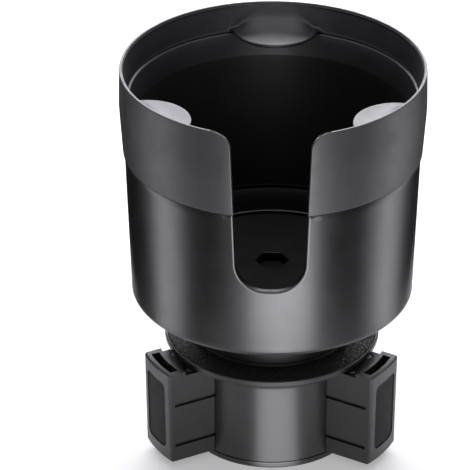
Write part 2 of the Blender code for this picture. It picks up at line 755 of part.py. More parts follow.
def make_scroll_plate():
    scroll = ring("scroll_plate", BOLT_RADIUS / 2, PLATE_RADIUS, PLATE_BOTTOM, PLATE_TOP, MEDIUM)
    join(scroll, hexagon("key", KEY_FLATS, PLATE_TOP - GROOVE_DEPTH / 4, PLATE_TOP + KEY_HEIGHT))
    groove = plate("grooves", spiral_outline(0.0, GROOVE_HALF), 0.0, PLATE_BOTTOM + GROOVE_DEPTH)
    cut(scroll, around("grooves", groove, LEG_ANGLES), rod("scroll_bore", BOLT_HOLE, 0.0, CUP_BOTTOM))
    return finish(scroll, ACETAL)


# Neck

def make_neck():
    bore = NECK_RADIUS - NECK_WALL
    deck_under = NECK_TOP - NECK_DECK
    foot_top = NECK_BOTTOM + NECK_FOOT_HEIGHT
    profile = [
        (NECK_RADIUS - EDGE_BREAK, NECK_TOP),
        (NECK_RADIUS, NECK_TOP - EDGE_BREAK),
        (NECK_RADIUS, foot_top),
        (NECK_FOOT_RADIUS - EDGE_BREAK, foot_top),
        (NECK_FOOT_RADIUS, foot_top - EDGE_BREAK),
        (NECK_FOOT_RADIUS, NECK_BOTTOM + EDGE_BREAK),
        (NECK_FOOT_RADIUS - EDGE_BREAK, NECK_BOTTOM),
        (bore, NECK_BOTTOM),
        (bore, deck_under),
        (HUB_RADIUS, deck_under),
        (HUB_RADIUS, HUB_BOTTOM),
        (BOLT_HOLE, HUB_BOTTOM),
        (BOLT_HOLE, NECK_TOP),
    ]
    neck = turned("neck", profile, MEDIUM)
    inside_deck = NECK_TOP - NECK_DECK / 2
    boss_bottom = NECK_TOP - NECK_BOSS_LENGTH
    bosses = rod("neck_bosses", SCREW_BOSS_RADIUS, boss_bottom, inside_deck, x=NECK_SCREW_PLACE)
    rib_span = ((HUB_RADIUS + BOLT_HOLE) / 2, NECK_RADIUS - NECK_WALL / 2)
    ribs = block("neck_ribs", rib_span, (-NECK_RIB / 2, NECK_RIB / 2), (boss_bottom, inside_deck))
    holes = rod("neck_holes", SCREW_HOLE, NECK_BOTTOM, CUP_BOTTOM, x=NECK_SCREW_PLACE)
    join(neck, around("neck_bosses", bosses, BETWEEN_LEGS), around("neck_ribs", ribs, LEG_ANGLES))
    key_top = PLATE_TOP + KEY_HEIGHT + SEAT
    cut(neck, hexagon("key_recess", KEY_FLATS + 2 * SEAT, NECK_BOTTOM - PAST, key_top))
    cut(neck, around("neck_holes", holes, BETWEEN_LEGS))
    return finish(neck, NECK_BLACK)


# Cup

def notch_cutter():
    """U-shaped handle notch through the front wall, its upper corners rolled out into the rim."""
    rim_half = NOTCH_HALF_TOP + NOTCH_RIM_ROUND
    half = [(rim_half, RIM_TOP + PAST)]
    half += arc((rim_half, RIM_TOP - NOTCH_RIM_ROUND), NOTCH_RIM_ROUND, 90, 180, 6)
    foot_centre = (NOTCH_HALF_FOOT - NOTCH_FOOT_ROUND, NOTCH_BOTTOM + NOTCH_FOOT_ROUND)
    half += arc(foot_centre, NOTCH_FOOT_ROUND, 0, -90, 8)
    outline = half + [(-x, z) for x, z in reversed(half)]
    cutter = plate("notch", outline, CUP_INNER_RADIUS / 2, RIM_RADIUS + PAST)
    cutter.data.transform(Matrix.Rotation(math.pi / 2, 4, "X"))
    return cutter


def on_notch_edge(outer_radius):
    """A test for edges where the notch meets the outer surface."""
    def test(middle):
        outside = abs(math.hypot(middle.x, middle.y) - outer_radius(middle.z)) < EDGE_BREAK
        reach = NOTCH_HALF_TOP + NOTCH_RIM_ROUND / 2
        return outside and middle.y < 0 and abs(middle.x) < reach and middle.z > NOTCH_BOTTOM - EDGE_BREAK
    return test


def cup_radius(height):
    """Outer radius of the cup's wall below the collar."""
    low = CUP_BOTTOM + CUP_EDGE_ROUND
    share = (height - low) / (COLLAR_BOTTOM - low)
    return CUP_FOOT_RADIUS + (CUP_RADIUS_AT_COLLAR - CUP_FOOT_RADIUS) * share


def collar_radius(height):
    """Outer radius of the collar, which is widest at its crease."""
    if height > COLLAR_CREASE:
        share = (height - COLLAR_CREASE) / (RIM_TOP - RIM_ROUND - COLLAR_CREASE)
        return COLLAR_CREASE_RADIUS + (RIM_RADIUS - COLLAR_CREASE_RADIUS) * share
    share = (height - COLLAR_BOTTOM) / (COLLAR_CREASE - COLLAR_BOTTOM)
    return COLLAR_FOOT_RADIUS + (COLLAR_CREASE_RADIUS - COLLAR_FOOT_RADIUS) * share


def make_cup_shell(notch):
    foot_centre = (CUP_FOOT_RADIUS - CUP_EDGE_ROUND, CUP_BOTTOM + CUP_EDGE_ROUND)
    inner_centre = (CUP_INNER_RADIUS - CUP_INNER_ROUND, CUP_FLOOR_TOP + CUP_INNER_ROUND)
    profile = [
        (RIM_WALL_OUTER, LINER_TOP),
        (RIM_WALL_OUTER, COLLAR_CREASE),
        (REBATE_FOOT, COLLAR_BOTTOM - SEAT),
        (CUP_RADIUS_AT_COLLAR, COLLAR_BOTTOM - SEAT),
    ] + arc(foot_centre, CUP_EDGE_ROUND, 0, -90, 4) + [
        (BOLT_HOLE, CUP_BOTTOM),
        (BOLT_HOLE, CUP_FLOOR_TOP),
    ] + arc(inner_centre, CUP_INNER_ROUND, -90, 0, 2) + [
        (CUP_INNER_RADIUS, FUNNEL_BOTTOM),
        (LINER_INNER, LINER_BOTTOM - SEAT),
        (LINER_REBATE, LINER_BOTTOM - SEAT),
        (LINER_REBATE, LINER_TOP),
    ]
    cup = turned("cup_shell", profile, FINE)
    holes = rod("cup_holes", SCREW_HOLE, 0.0, DISH_TOP, x=NECK_SCREW_PLACE)
    cut(cup, around("cup_holes", holes, BETWEEN_LEGS), notch)
    round_edges(cup, NOTCH_EDGE, 2, on_notch_edge(cup_radius))
    return finish(cup, CUP_GLOSS)


def make_collar(notch):
    inner = RIM_WALL_OUTER + SEAT
    lip_inner = LINER_INNER + EDGE_BREAK
    profile = arc((RIM_RADIUS - RIM_ROUND, RIM_TOP - RIM_ROUND), RIM_ROUND, 90, 0, 3) + [
        (COLLAR_CREASE_RADIUS, COLLAR_CREASE),
        (COLLAR_FOOT_RADIUS, COLLAR_BOTTOM + EDGE_BREAK),
        (COLLAR_FOOT_RADIUS - EDGE_BREAK, COLLAR_BOTTOM),
        (REBATE_FOOT + SEAT, COLLAR_BOTTOM),
        (inner, COLLAR_CREASE),
        (inner, RIM_TOP - COLLAR_LIP),
        (lip_inner, RIM_TOP - COLLAR_LIP),
        (lip_inner, RIM_TOP),
    ]
    collar = turned("collar", profile, FINE)
    cut(collar, notch)
    round_edges(collar, NOTCH_EDGE, 2, on_notch_edge(collar_radius))
    return finish(collar, COLLAR_MATTE)


# Grip liner

def tab_outline(reach):
    """Plan of one tab, X outwards: a round lobe with round roots that run into the ring's bore."""
    lobe = TAB_TIP + TAB_ROUND
    root_distance = LINER_INNER - TAB_ROOT_ROUND
    between = TAB_ROUND + TAB_ROOT_ROUND
    root_x = (root_distance ** 2 + lobe ** 2 - between ** 2) / (2 * lobe)
    root_y = math.sqrt(root_distance ** 2 - root_x ** 2)
    ring_side = math.degrees(math.atan2(root_y, root_x))
    lobe_side = math.degrees(math.atan2(root_y, root_x - lobe))
    half = arc((root_x, root_y), TAB_ROOT_ROUND, ring_side, lobe_side - 180, 6)
    half += arc((lobe, 0.0), TAB_ROUND, lobe_side, 180, 10)[1:]
    reach_y = reach * math.sin(math.radians(ring_side))
    reach_x = reach * math.cos(math.radians(ring_side))
    upper = [(reach, 0.0), (reach_x, reach_y)] + half
    return upper + [(x, -y) for x, y in reversed(upper[1:-1])]


def make_grip_liner(notch):
    liner = ring("grip_liner", LINER_INNER, LINER_OUTER, LINER_BOTTOM, LINER_TOP, FINE)
    middle = LINER_INNER + LINER_THICK / 2
    under = TAB_TOP - TAB_THICK
    nose = arc((TAB_TIP + TAB_THICK / 2, TAB_TOP - TAB_THICK / 2), TAB_THICK / 2, 270, 90, 5)
    sweep = [
        (TAB_FLAT_END + (middle - TAB_FLAT_END) * math.sin(t), TAB_TOP + TAB_SWEEP * (1 - math.cos(t)))
        for t in (math.radians(11.25 * i) for i in range(9))
    ]
    root = [(middle, (LINER_BOTTOM + under) / 2)]
    tabs = turned("tabs", sweep[::-1][:1] + root + nose + sweep[:-1], FINE, CUTTERS)
    lobes = plate("lobes", tab_outline(LINER_OUTER), LINER_BOTTOM - PAST, LINER_TOP + PAST)
    tab_angles = [math.pi / 2 + 2 * math.pi * i / TAB_COUNT for i in range(TAB_COUNT)]
    common(tabs, around("lobes", lobes, tab_angles))
    join(liner, tabs)
    cut(liner, notch)
    return finish(liner, LINER_SOFT)


# Inner floor

def make_floor_ring():
    """Dished ring that leads a bottle's foot to the flat floor, on a skirt."""
    outer = CUP_INNER_RADIUS - SEAT
    run = outer - MAT_RADIUS - SEAT
    rise = DISH_TOP - FLOOR_LEVEL - MAT_DEPTH
    dish = [
        (MAT_RADIUS + SEAT + run * math.sin(t), DISH_TOP - rise * math.cos(t))
        for t in (math.radians(18 * i) for i in range(6))
    ]
    under = FLOOR_LEVEL - FLOOR_THICK
    skirt_inner = SKIRT_RADIUS - SKIRT_THICK
    profile = [
        (outer, DISH_TOP - DISH_EDGE),
        (SKIRT_RADIUS + run / 4, under + rise / 2),
        (SKIRT_RADIUS, under + rise / 4),
        (SKIRT_RADIUS, CUP_FLOOR_TOP + SEAT),
        (skirt_inner, CUP_FLOOR_TOP + SEAT),
        (skirt_inner, under),
        (MAT_RADIUS, under),
        (MAT_RADIUS, FLOOR_LEVEL + MAT_DEPTH - EDGE_BREAK),
    ] + dish
    return finish(turned("floor_ring", profile, MEDIUM), FLOOR_BLACK)


def make_floor_disc():
    """Flat floor inside the ring, with the hexagonal opening over the bolt's head."""
    outer = MAT_RADIUS - SEAT
    under = FLOOR_LEVEL - FLOOR_THICK
    tube_bottom = BOLT_HEAD_BOTTOM + SEAT
    skirt_outer = MAT_RADIUS - 2 * SKIRT_THICK
    skirt_inner = skirt_outer - SKIRT_THICK
    profile = [
        (outer, FLOOR_LEVEL),
        (outer, under),
        (skirt_outer, under),
        (skirt_outer, CUP_FLOOR_TOP + SEAT),
        (skirt_inner, CUP_FLOOR_TOP + SEAT),
        (skirt_inner, under),
        (SOCKET_RADIUS, under),
        (SOCKET_RADIUS, tube_bottom),
        (BOLT_RADIUS, tube_bottom),
        (BOLT_RADIUS, FLOOR_LEVEL),
    ]
    disc = turned("floor_disc", profile, MEDIUM)
    cut(disc, hexagon("socket", BOLT_FLATS + 2 * SEAT, CUP_BOTTOM, DISH_TOP))
    return finish(disc, FLOOR_BLACK)


# Build

def build():
    make_base_cover()
    make_housing()
    make_top_pad()
    make_cover_screws()
    make_legs()
    make_scroll_plate()
    make_washers()
    make_clamp_bolt()
    make_lock_nut()
    make_neck()
    make_neck_screws()
    notch = notch_cutter()
    make_cup_shell(notch)
    make_collar(notch)
    make_grip_liner(notch)
    make_floor_ring()
    make_floor_disc()


build()
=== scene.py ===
# %% [markdown]
# # A cup holder expander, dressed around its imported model
#
# The real object is a big cup that plugs into a car's small cup holder. A dark moulded cup with a handle
# notch sits on a round base, and three legs slide out of the base until they grip the holder's wall. This
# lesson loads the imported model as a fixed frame, keeps the pieces whose shape is already right, and
# builds finer ones where light would show the difference: rolled edges, the grip ring and the grained
# pad.

import json
import math

import bmesh
import bpy
from mathutils import Matrix, Vector
from mathutils.geometry import delaunay_2d_cdt


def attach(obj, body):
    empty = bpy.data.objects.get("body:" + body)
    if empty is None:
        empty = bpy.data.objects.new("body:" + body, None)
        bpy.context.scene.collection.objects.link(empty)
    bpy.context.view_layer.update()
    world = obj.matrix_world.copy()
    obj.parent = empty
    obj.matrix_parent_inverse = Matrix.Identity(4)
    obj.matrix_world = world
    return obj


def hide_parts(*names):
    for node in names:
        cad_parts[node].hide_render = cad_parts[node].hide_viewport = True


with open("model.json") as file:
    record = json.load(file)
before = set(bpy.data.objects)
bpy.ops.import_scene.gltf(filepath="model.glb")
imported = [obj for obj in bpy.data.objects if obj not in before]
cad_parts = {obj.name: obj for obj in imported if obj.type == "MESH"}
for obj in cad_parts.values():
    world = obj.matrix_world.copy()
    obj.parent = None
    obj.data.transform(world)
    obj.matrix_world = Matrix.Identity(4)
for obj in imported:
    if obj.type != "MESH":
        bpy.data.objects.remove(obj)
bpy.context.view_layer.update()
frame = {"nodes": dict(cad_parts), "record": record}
MM = 0.001

# %% [markdown]
# ## The camera
#
# The picture was taken from about 1.3 m away, looking 29 degrees down, with a long lens. A long lens
# keeps the upright sides of the cup almost parallel, as a catalogue picture wants. One could place a
# camera by eye, but here its place comes from matching the rim, the neck and the legs, so every edge
# lands where it does in the picture.

# %% Set up the camera
LENS_MM = 274.6
CAMERA_PLACE = (0.0138, -1.1319, 0.7076)
LOOK_YAW = math.radians(-1.38)
LOOK_DOWN = math.radians(29.0)

scene = bpy.context.scene
camera_data = bpy.data.cameras.new("camera")
camera_data.sensor_width = 36.0
camera_data.lens = LENS_MM
camera = bpy.data.objects.new("camera", camera_data)
camera.location = CAMERA_PLACE
look = Vector((
    math.sin(LOOK_YAW) * math.cos(LOOK_DOWN),
    math.cos(LOOK_YAW) * math.cos(LOOK_DOWN),
    -math.sin(LOOK_DOWN),
))
camera.rotation_euler = look.to_track_quat("-Z", "Y").to_euler()
scene.collection.objects.link(camera)
scene.camera = camera
print("camera distance in mm:", round(camera.location.length / MM))

# %% [markdown]
# ## A pale world
#
# The background is plain white. A stronger light would bleach the object, so the white is only what the
# camera, a reflection or a look through glass can see: a Light Path node tells which kind of ray asks,
# and the world answers those rays brightly and all others dimly. Small helpers add the nodes and make
# that choice.

# %% Set up the world
scene.view_settings.view_transform = "Standard"
WORLD_LIGHT = 0.25


def feed(made, inputs):
    """Gives a node its inputs, by name or number: plain values, or other nodes' sockets to link."""
    for key, value in inputs.items():
        if isinstance(value, bpy.types.NodeSocket):
            made.id_data.links.new(value, made.inputs[key])
        else:
            made.inputs[key].default_value = value


def node(tree, kind, inputs=None, **settings):
    """Adds a shader node."""
    made = tree.nodes.new(kind)
    for key, value in settings.items():
        setattr(made, key, value)
    feed(made, inputs or {})
    return made


def seen_share(tree, base, more):
    """A strength that rises from base by more for camera, glossy and transmission rays."""
    paths = node(tree, "ShaderNodeLightPath")
    direct = node(tree, "ShaderNodeMath", {
        0: paths.outputs["Is Camera Ray"], 1: paths.outputs["Is Glossy Ray"],
    }, operation="MAXIMUM")
    seen = node(tree, "ShaderNodeMath", {
        0: direct.outputs[0], 1: paths.outputs["Is Transmission Ray"],
    }, operation="MAXIMUM")
    strength = node(tree, "ShaderNodeMath", {0: seen.outputs[0], 1: more, 2: base}, operation="MULTIPLY_ADD")
    return strength.outputs[0]


world = bpy.data.worlds.new("studio")
scene.world = world
world.use_nodes = True
world_tree = world.node_tree
world_tree.nodes.clear()
sky = node(world_tree, "ShaderNodeBackground", {
    "Color": (0.93, 0.95, 1.0, 1.0), "Strength": seen_share(world_tree, WORLD_LIGHT, 1.0 - WORLD_LIGHT),
})
node(world_tree, "ShaderNodeOutputWorld", {0: sky.outputs[0]})
print("world strength on the object:", WORLD_LIGHT)

# %% [markdown]
# ## The lamps
#
# A glossy dark object shows its lamps more than its own colour, so the lamps are tall and narrow, like
# the strip boxes of a product studio, and each one draws a light stripe on the cup. One stands on each
# side, one in front, and a small one low before the base. A wide one hangs behind to draw the rim and the
# grip tabs, and one above fills in. Each lamp is given by how bright its surface is, because that is what
# a reflection shows.

# %% Place the lamps
STRIP_HEIGHT = 0.110
STRIP_SPREAD = 80
LAMP_TINT = (0.985, 0.975, 1.03)
STRIPS = {
    "strip_left": ((-0.146, -0.034, 0.050), (-0.038, -0.037, 0.106), 0.046, 0.38),
    "strip_right": ((0.146, -0.008, 0.050), (0.042, -0.032, 0.106), 0.038, 0.36),
    "strip_front": ((0.019, -0.152, 0.050), (0.004, -0.053, 0.100), 0.106, 1.55),
}


def strip_lamp(name, place, target, width, height, radiance, spread=180.0):
    """A rectangular lamp whose surface has the stated radiance, where 1 is white."""
    data = bpy.data.lights.new(name, "AREA")
    data.shape = "RECTANGLE"
    data.size = width
    data.size_y = height
    data.energy = radiance * math.pi * width * height
    data.spread = math.radians(spread)
    data.color = LAMP_TINT
    lamp = bpy.data.objects.new(name, data)
    lamp.location = place
    aim = Vector(target) - Vector(place)
    lamp.rotation_euler = aim.to_track_quat("-Z", "Y").to_euler()
    scene.collection.objects.link(lamp)
    return lamp


for name, (place, target, width, radiance) in STRIPS.items():
    strip_lamp(name, place, target, width, STRIP_HEIGHT, radiance, STRIP_SPREAD)
low_lamp = strip_lamp(
    "strip_low", (0.0055, -0.052, 0.0030), (0.0030, -0.031, 0.0045), 0.037, 0.048, 2.1, 110,
)
strip_lamp("box_behind", (0.0, 0.72, 0.44), (0.0, 0.0, 0.14), 1.10, 0.50, 6.3)
strip_lamp("box_above", (0.0, 0.05, 0.62), (0.0, 0.0, 0.0), 0.50, 0.50, 0.9)

# %% [markdown]
# ## Black cards
#
# Between two light stripes a glossy surface would mirror the pale floor. A studio stands black cards
# there, so that the stripes have dark sides. The cards are seen only in reflections: they are hidden from
# the camera, throw no shadow and take no soft light away.

# %% Stand the cards
CARD_HEIGHT = 0.14
CARDS = {
    "card_front_left": ((-0.078, -0.150), (-0.106, -0.064)),
    "card_front_right": ((0.088, -0.150), (0.122, -0.050)),
    "card_back_left": ((-0.110, -0.008), (-0.080, 0.160)),
    "card_back_right": ((0.114, 0.022), (0.080, 0.160)),
}


def new_finish(name):
    """A new material, with its node tree and its shader."""
    made = bpy.data.materials.new(name)
    made.use_nodes = True
    return made, made.node_tree, made.node_tree.nodes["Principled BSDF"]


card_finish, _, card_shader = new_finish("black_card")
feed(card_shader, {"Base Color": (0.004, 0.004, 0.004, 1.0), "Specular IOR Level": 0.0})
for name, ((x1, y1), (x2, y2)) in CARDS.items():
    card_mesh = bpy.data.meshes.new(name)
    corners = [(x1, y1, 0.0), (x2, y2, 0.0), (x2, y2, CARD_HEIGHT), (x1, y1, CARD_HEIGHT)]
    card_mesh.from_pydata(corners, [], [(0, 1, 2, 3)])
    card_mesh.materials.append(card_finish)
    card = bpy.data.objects.new(name, card_mesh)
    card.visible_camera = False
    card.visible_diffuse = False
    card.visible_shadow = False
    scene.collection.objects.link(card)
print("cards:", len(CARDS))

# %% [markdown]
# ## The floor
#
# The object stands on pale paper. A matt sheet that glows a little for the camera comes out white and
# still keeps a soft shadow. The glow grows away from the object, so that the far floor is as white as the
# world behind it when one looks from low down.

# %% Lay the floor
FLOOR_HALF = 9
GLOW_NEAR = 0.32
GLOW_FAR = 1.0
GLOW_STARTS = 0.35
GLOW_ENDS = 0.70


def between(tree, value, low, high, to_low, to_high, **settings):
    """The socket of a node that maps one range of a value to another."""
    return node(tree, "ShaderNodeMapRange", {
        "Value": value, "From Min": low, "From Max": high, "To Min": to_low, "To Max": to_high,
    }, **settings).outputs[0]


floor_mesh = bpy.data.meshes.new("floor")
floor_corners = [(x * FLOOR_HALF, y * FLOOR_HALF, 0) for x, y in ((-1, -1), (1, -1), (1, 1), (-1, 1))]
floor_mesh.from_pydata(floor_corners, [], [(0, 1, 2, 3)])
floor = bpy.data.objects.new("floor", floor_mesh)
scene.collection.objects.link(floor)
floor_finish, paper_tree, paper = new_finish("floor_paper")
floor_where = node(paper_tree, "ShaderNodeTexCoord").outputs["Object"]
away = node(paper_tree, "ShaderNodeVectorMath", {0: floor_where}, operation="LENGTH").outputs["Value"]
whiter = between(paper_tree, away, GLOW_STARTS, GLOW_ENDS, GLOW_NEAR, GLOW_FAR)
feed(paper, {
    "Base Color": (0.93, 0.93, 0.93, 1.0), "Roughness": 0.9, "Specular IOR Level": 0.1,
    "Emission Color": (1.0, 1.0, 1.0, 1.0), "Emission Strength": seen_share(paper_tree, 0.0, whiter),
})
floor_mesh.materials.append(floor_finish)
print("floor side in m:", 2 * FLOOR_HALF)

# %% [markdown]
# ## One lamp for the base alone
#
# The low lamp is there for the stripe on the base. It stands so close that it would also burn a patch on
# the floor and on the legs, so light linking takes these out of its reach. Its lower part dips below the
# floor, which is told to let its light pass, so that the stripe runs down to the foot of the base.

# %% Link the low lamp


def left_out(name, objects):
    """A collection that tells a lamp to leave these objects out."""
    group = bpy.data.collections.new(name)
    for item in objects:
        group.objects.link(item)
    for item in group.collection_objects:
        item.light_linking.link_state = "EXCLUDE"
    return group


legs = [piece for name, piece in frame["nodes"].items() if name.startswith("leg_")]
low_lamp.light_linking.receiver_collection = left_out("unlit_by_low", [floor, *legs])
low_lamp.light_linking.blocker_collection = left_out("lets_low_through", [floor])
print("pieces the low lamp leaves out:", len(legs) + 1)

# %% [markdown]
# ## Moulded plastic
#
# Most of the object is injection moulded plastic. Polished steel tooling leaves a soft gloss with a very
# shallow orange peel, and spark-eroded tooling leaves a fine even grain that looks matt. Both finishes
# can share one recipe: a dark base colour with faint cloudy variation, a roughness that wanders a little,
# and a bump made of one fine noise. Only the sizes change from one finish to the next.

# %% A recipe for moulded plastic
CLOUD_SCALE = 60.0
SMUDGE_SCALE = 140.0


def noise(tree, scale, detail, roughness=0.5):
    """The value of a noise that sticks to the piece."""
    where = node(tree, "ShaderNodeTexCoord").outputs["Object"]
    made = node(tree, "ShaderNodeTexNoise", {
        "Vector": where, "Scale": scale, "Detail": detail, "Roughness": roughness,
    })
    return made.outputs[0]


def plastic(name, colour, roughness, specular, grain_mm, grain_depth_mm, wander=0.06, cloud=0.12):
    """Moulded plastic: cloudy colour, wandering roughness, and a grain of the stated size and depth."""
    made, tree, shader = new_finish(name)
    clouds = noise(tree, CLOUD_SCALE, 3.0, 0.6)
    tint = between(tree, clouds, 0.3, 0.7, 1.0 - cloud, 1.0 + cloud)
    smudge = noise(tree, SMUDGE_SCALE, 4.0, 0.7)
    grain = noise(tree, 1.0 / (grain_mm * MM), 2.0, 0.5)
    shade = node(tree, "ShaderNodeVectorMath", {0: colour, "Scale": tint}, operation="SCALE")
    bump = node(tree, "ShaderNodeBump", {
        "Height": grain, "Strength": 1.0, "Distance": grain_depth_mm * MM,
    })
    feed(shader, {
        "Base Color": shade.outputs[0],
        "Roughness": between(tree, smudge, 0.25, 0.75, roughness - wander, roughness + wander),
        "Normal": bump.outputs[0],
        "Specular IOR Level": specular,
    })
    return made


print("cloud size in mm about", round(1 / CLOUD_SCALE / MM))

# %% [markdown]
# ## The plastics of this object
#
# The cup and the base have the same black gloss. The band round the rim is matt, the grip ring is soft
# and a little shiny, the legs are satin and their pads are dull rubber. Inside the cup the colours are
# painted light and shade: the wall is a less glossy copy of the cup's plastic with its colour lifted, the
# dish is painted darker with a painted highlight on its edge, and the flat floor is painted a touch lighter,
# as if lit from above. The bolt's blackened steel is dull enough for the same recipe. One finish for all
# would be quicker, but the pieces would melt into one dark shape.

# %% Mix the plastics
CUP_GLOSS = plastic("cup_gloss", (0.0035, 0.0035, 0.0038), 0.33, 0.70, 3.0, 0.003, wander=0.03, cloud=0.06)
COLLAR_MATTE = plastic("collar_matte", (0.010, 0.010, 0.0107), 0.52, 0.80, 0.45, 0.012)
LINER_SOFT = plastic("liner_soft", (0.012, 0.012, 0.013), 0.42, 0.50, 0.6, 0.010)
# The inside of the cup: a copy of its plastic with painted light and shade, the colour lifted and the gloss
# cut down.
INSIDE_PAINTED_LIGHT_AND_SHADE = plastic("inside_painted_light_and_shade", (0.012, 0.012, 0.0125), 0.45, 0.25, 0.6, 0.008)
# The flat floor's colour is twice the wall's: painted light, as if lit from above.
FLOOR_PAINTED_LIGHTER = plastic("floor_black", (0.024, 0.024, 0.0245), 0.35, 0.30, 4.0, 0.003)
# The dish's colour is painted darker than the wall's: painted shade in the bottom of the cup.
DISH_PAINTED_DARKER = plastic("dish_painted_darker", (0.005, 0.005, 0.0052), 0.42, 0.10, 0.6, 0.008)
# The bead's pale colour is a painted highlight.
DISH_BEAD_PAINTED_HIGHLIGHT = plastic("dish_bead_painted_highlight", (0.20, 0.20, 0.205), 0.45, 0.50, 0.8, 0.004)
NECK_BLACK = plastic("neck_black", (0.006, 0.006, 0.0065), 0.42, 0.35, 1.2, 0.006)
BASE_GLOSS = plastic("base_gloss", (0.0035, 0.0035, 0.0038), 0.33, 0.70, 3.0, 0.003, wander=0.03, cloud=0.06)
LEG_SATIN = plastic("leg_satin", (0.011, 0.011, 0.0115), 0.46, 0.75, 0.6, 0.020)
GRIP_RUBBER = plastic("grip_rubber", (0.007, 0.007, 0.0075), 0.70, 0.25, 0.5, 0.030)
BLACKED_STEEL = plastic("blacked_steel", (0.004, 0.004, 0.004), 0.45, 0.30, 0.3, 0.003)
ACETAL = plastic("acetal", (0.55, 0.55, 0.52), 0.40, 0.50, 1.5, 0.004, cloud=0.04)
print("materials so far:", len(bpy.data.materials))

# %% [markdown]
# ## Grained skin
#
# The disc under the neck is covered with a thin black skin that has a leather-like grain: rounded pebbles
# with creases between them. A Voronoi texture gives the distance to the nearest crease, and that
# distance, eased, is the height of the skin. It also paints the creases darker, as painted shade. A
# little noise bends the creases first, because straight ones look cut.

# %% Make the grained skin
MIX_A = 6
MIX_B = 7

GRAINED_BLACK, skin, skin_shader = new_finish("grained_black")
skin_where = node(skin, "ShaderNodeTexCoord").outputs["Object"]
bend = node(skin, "ShaderNodeTexNoise", {"Vector": skin_where, "Scale": 500.0, "Detail": 2.0})
bent = node(skin, "ShaderNodeVectorMath", {0: bend.outputs["Color"], "Scale": 0.0009}, operation="SCALE")
moved = node(skin, "ShaderNodeVectorMath", {0: skin_where, 1: bent.outputs[0]}, operation="ADD")
pebbles = node(
    skin, "ShaderNodeTexVoronoi", {"Vector": moved.outputs[0], "Scale": 850.0}, feature="DISTANCE_TO_EDGE",
)
crease = between(skin, pebbles.outputs["Distance"], 0.0, 0.28, 0.0, 1.0, interpolation_type="SMOOTHSTEP")
# The colour is darker in the creases: painted shade.
crease_shaded_skin_colour = node(skin, "ShaderNodeMix", {
    0: crease, MIX_A: (0.005, 0.005, 0.005, 1.0), MIX_B: (0.020, 0.020, 0.0207, 1.0),
}, data_type="RGBA")
skin_bump = node(skin, "ShaderNodeBump", {"Height": crease, "Strength": 1.0, "Distance": 0.00012})
feed(skin_shader, {
    "Base Color": crease_shaded_skin_colour.outputs[2], "Roughness": between(skin, crease, 0.0, 1.0, 0.8, 0.45),
    "Normal": skin_bump.outputs[0], "Specular IOR Level": 0.5,
})
print("nodes in the skin:", len(skin.nodes))

# %% [markdown]
# ## Plated steel
#
# The screws, washers and nut are zinc-plated steel with fine turning marks. A metal needs no bump
# for that at this size: one fine noise that changes its roughness and its tint together is enough.

# %% Make the plated steel
STEEL, plate_tree, plate_shader = new_finish("steel")
marks = noise(plate_tree, 2500.0, 3.0)
plate_tint = between(plate_tree, marks, 0.3, 0.7, 0.52, 0.64)
plate_colour = node(plate_tree, "ShaderNodeCombineColor", {channel: plate_tint for channel in range(3)})
feed(plate_shader, {
    "Base Color": plate_colour.outputs[0], "Roughness": between(plate_tree, marks, 0.3, 0.7, 0.22, 0.42),
    "Metallic": 1.0,
})
print("nodes in the steel:", len(plate_tree.nodes))

# %% [markdown]
# ## Finishes for the solids that stay
#
# Pieces whose shape is right keep their solid. A solid from CAD has knife edges, and real mouldings
# don't: a small bevel on every hard edge gives the light something to catch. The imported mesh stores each
# face apart, so a Weld joins the points first, and only then can a Bevel follow the edges. Weighted
# normals come last, so that large faces and tall walls stay even beside the small round edges.

# %% Dress the CAD nodes
SLOT_FINISH = {
    "cup_gloss": CUP_GLOSS,
    "collar_matte": COLLAR_MATTE,
    "liner_soft": LINER_SOFT,
    "floor_black": FLOOR_PAINTED_LIGHTER,
    "neck_black": NECK_BLACK,
    "base_gloss": BASE_GLOSS,
    "grained_black": GRAINED_BLACK,
    "leg_satin": LEG_SATIN,
    "grip_rubber": GRIP_RUBBER,
    "acetal": ACETAL,
    "steel": STEEL,
}
SMALL_PARTS = ("arm_screw", "cover_screw", "neck_screw", "bolt_", "nut_", "thrust")
SMALL_EDGE = 0.12
LARGE_EDGE = 0.3
HARD_EDGE = math.radians(35.0)


def soften_edges(piece, width_mm):
    """Joins the points, rounds the hard edges and shades the rest smooth."""
    weld = piece.modifiers.new("weld", "WELD")
    weld.merge_threshold = 0.00001
    bevel = piece.modifiers.new("bevel", "BEVEL")
    bevel.width = width_mm * MM
    bevel.segments = 2
    bevel.limit_method = "ANGLE"
    bevel.angle_limit = HARD_EDGE
    bevel.use_clamp_overlap = True
    even = piece.modifiers.new("even", "WEIGHTED_NORMAL")
    even.mode = "FACE_AREA"
    even.weight = 100
    piece.data.shade_smooth()


slot_of = {row["node"]: row["material_slot"] for row in frame["record"]["subparts"]}
for name, piece in sorted(frame["nodes"].items()):
    piece.data.materials.clear()
    piece.data.materials.append(SLOT_FINISH[slot_of[name]])
    soften_edges(piece, SMALL_EDGE if name.startswith(SMALL_PARTS) else LARGE_EDGE)
frame["nodes"]["clamp_bolt"].data.materials[0] = BLACKED_STEEL
print("solids dressed:", len(frame["nodes"]))

# %% [markdown]
# ## Tools for outlines
#
# Almost everything on this object was turned or swept on a machine, so a few small tools cover it. The
# first two draw arcs and soften the corners of an outline, and the third eases a change so that it starts
# and ends gently. All sizes are in millimetres until a mesh is made.

# %% Arcs, soft corners and eased changes


def arc_points(centre, radius, start, end, steps):
    """Points on an arc, angles in degrees."""
    turns = [math.radians(start + (end - start) * k / steps) for k in range(steps + 1)]
    return [(centre[0] + radius * math.cos(t), centre[1] + radius * math.sin(t)) for t in turns]


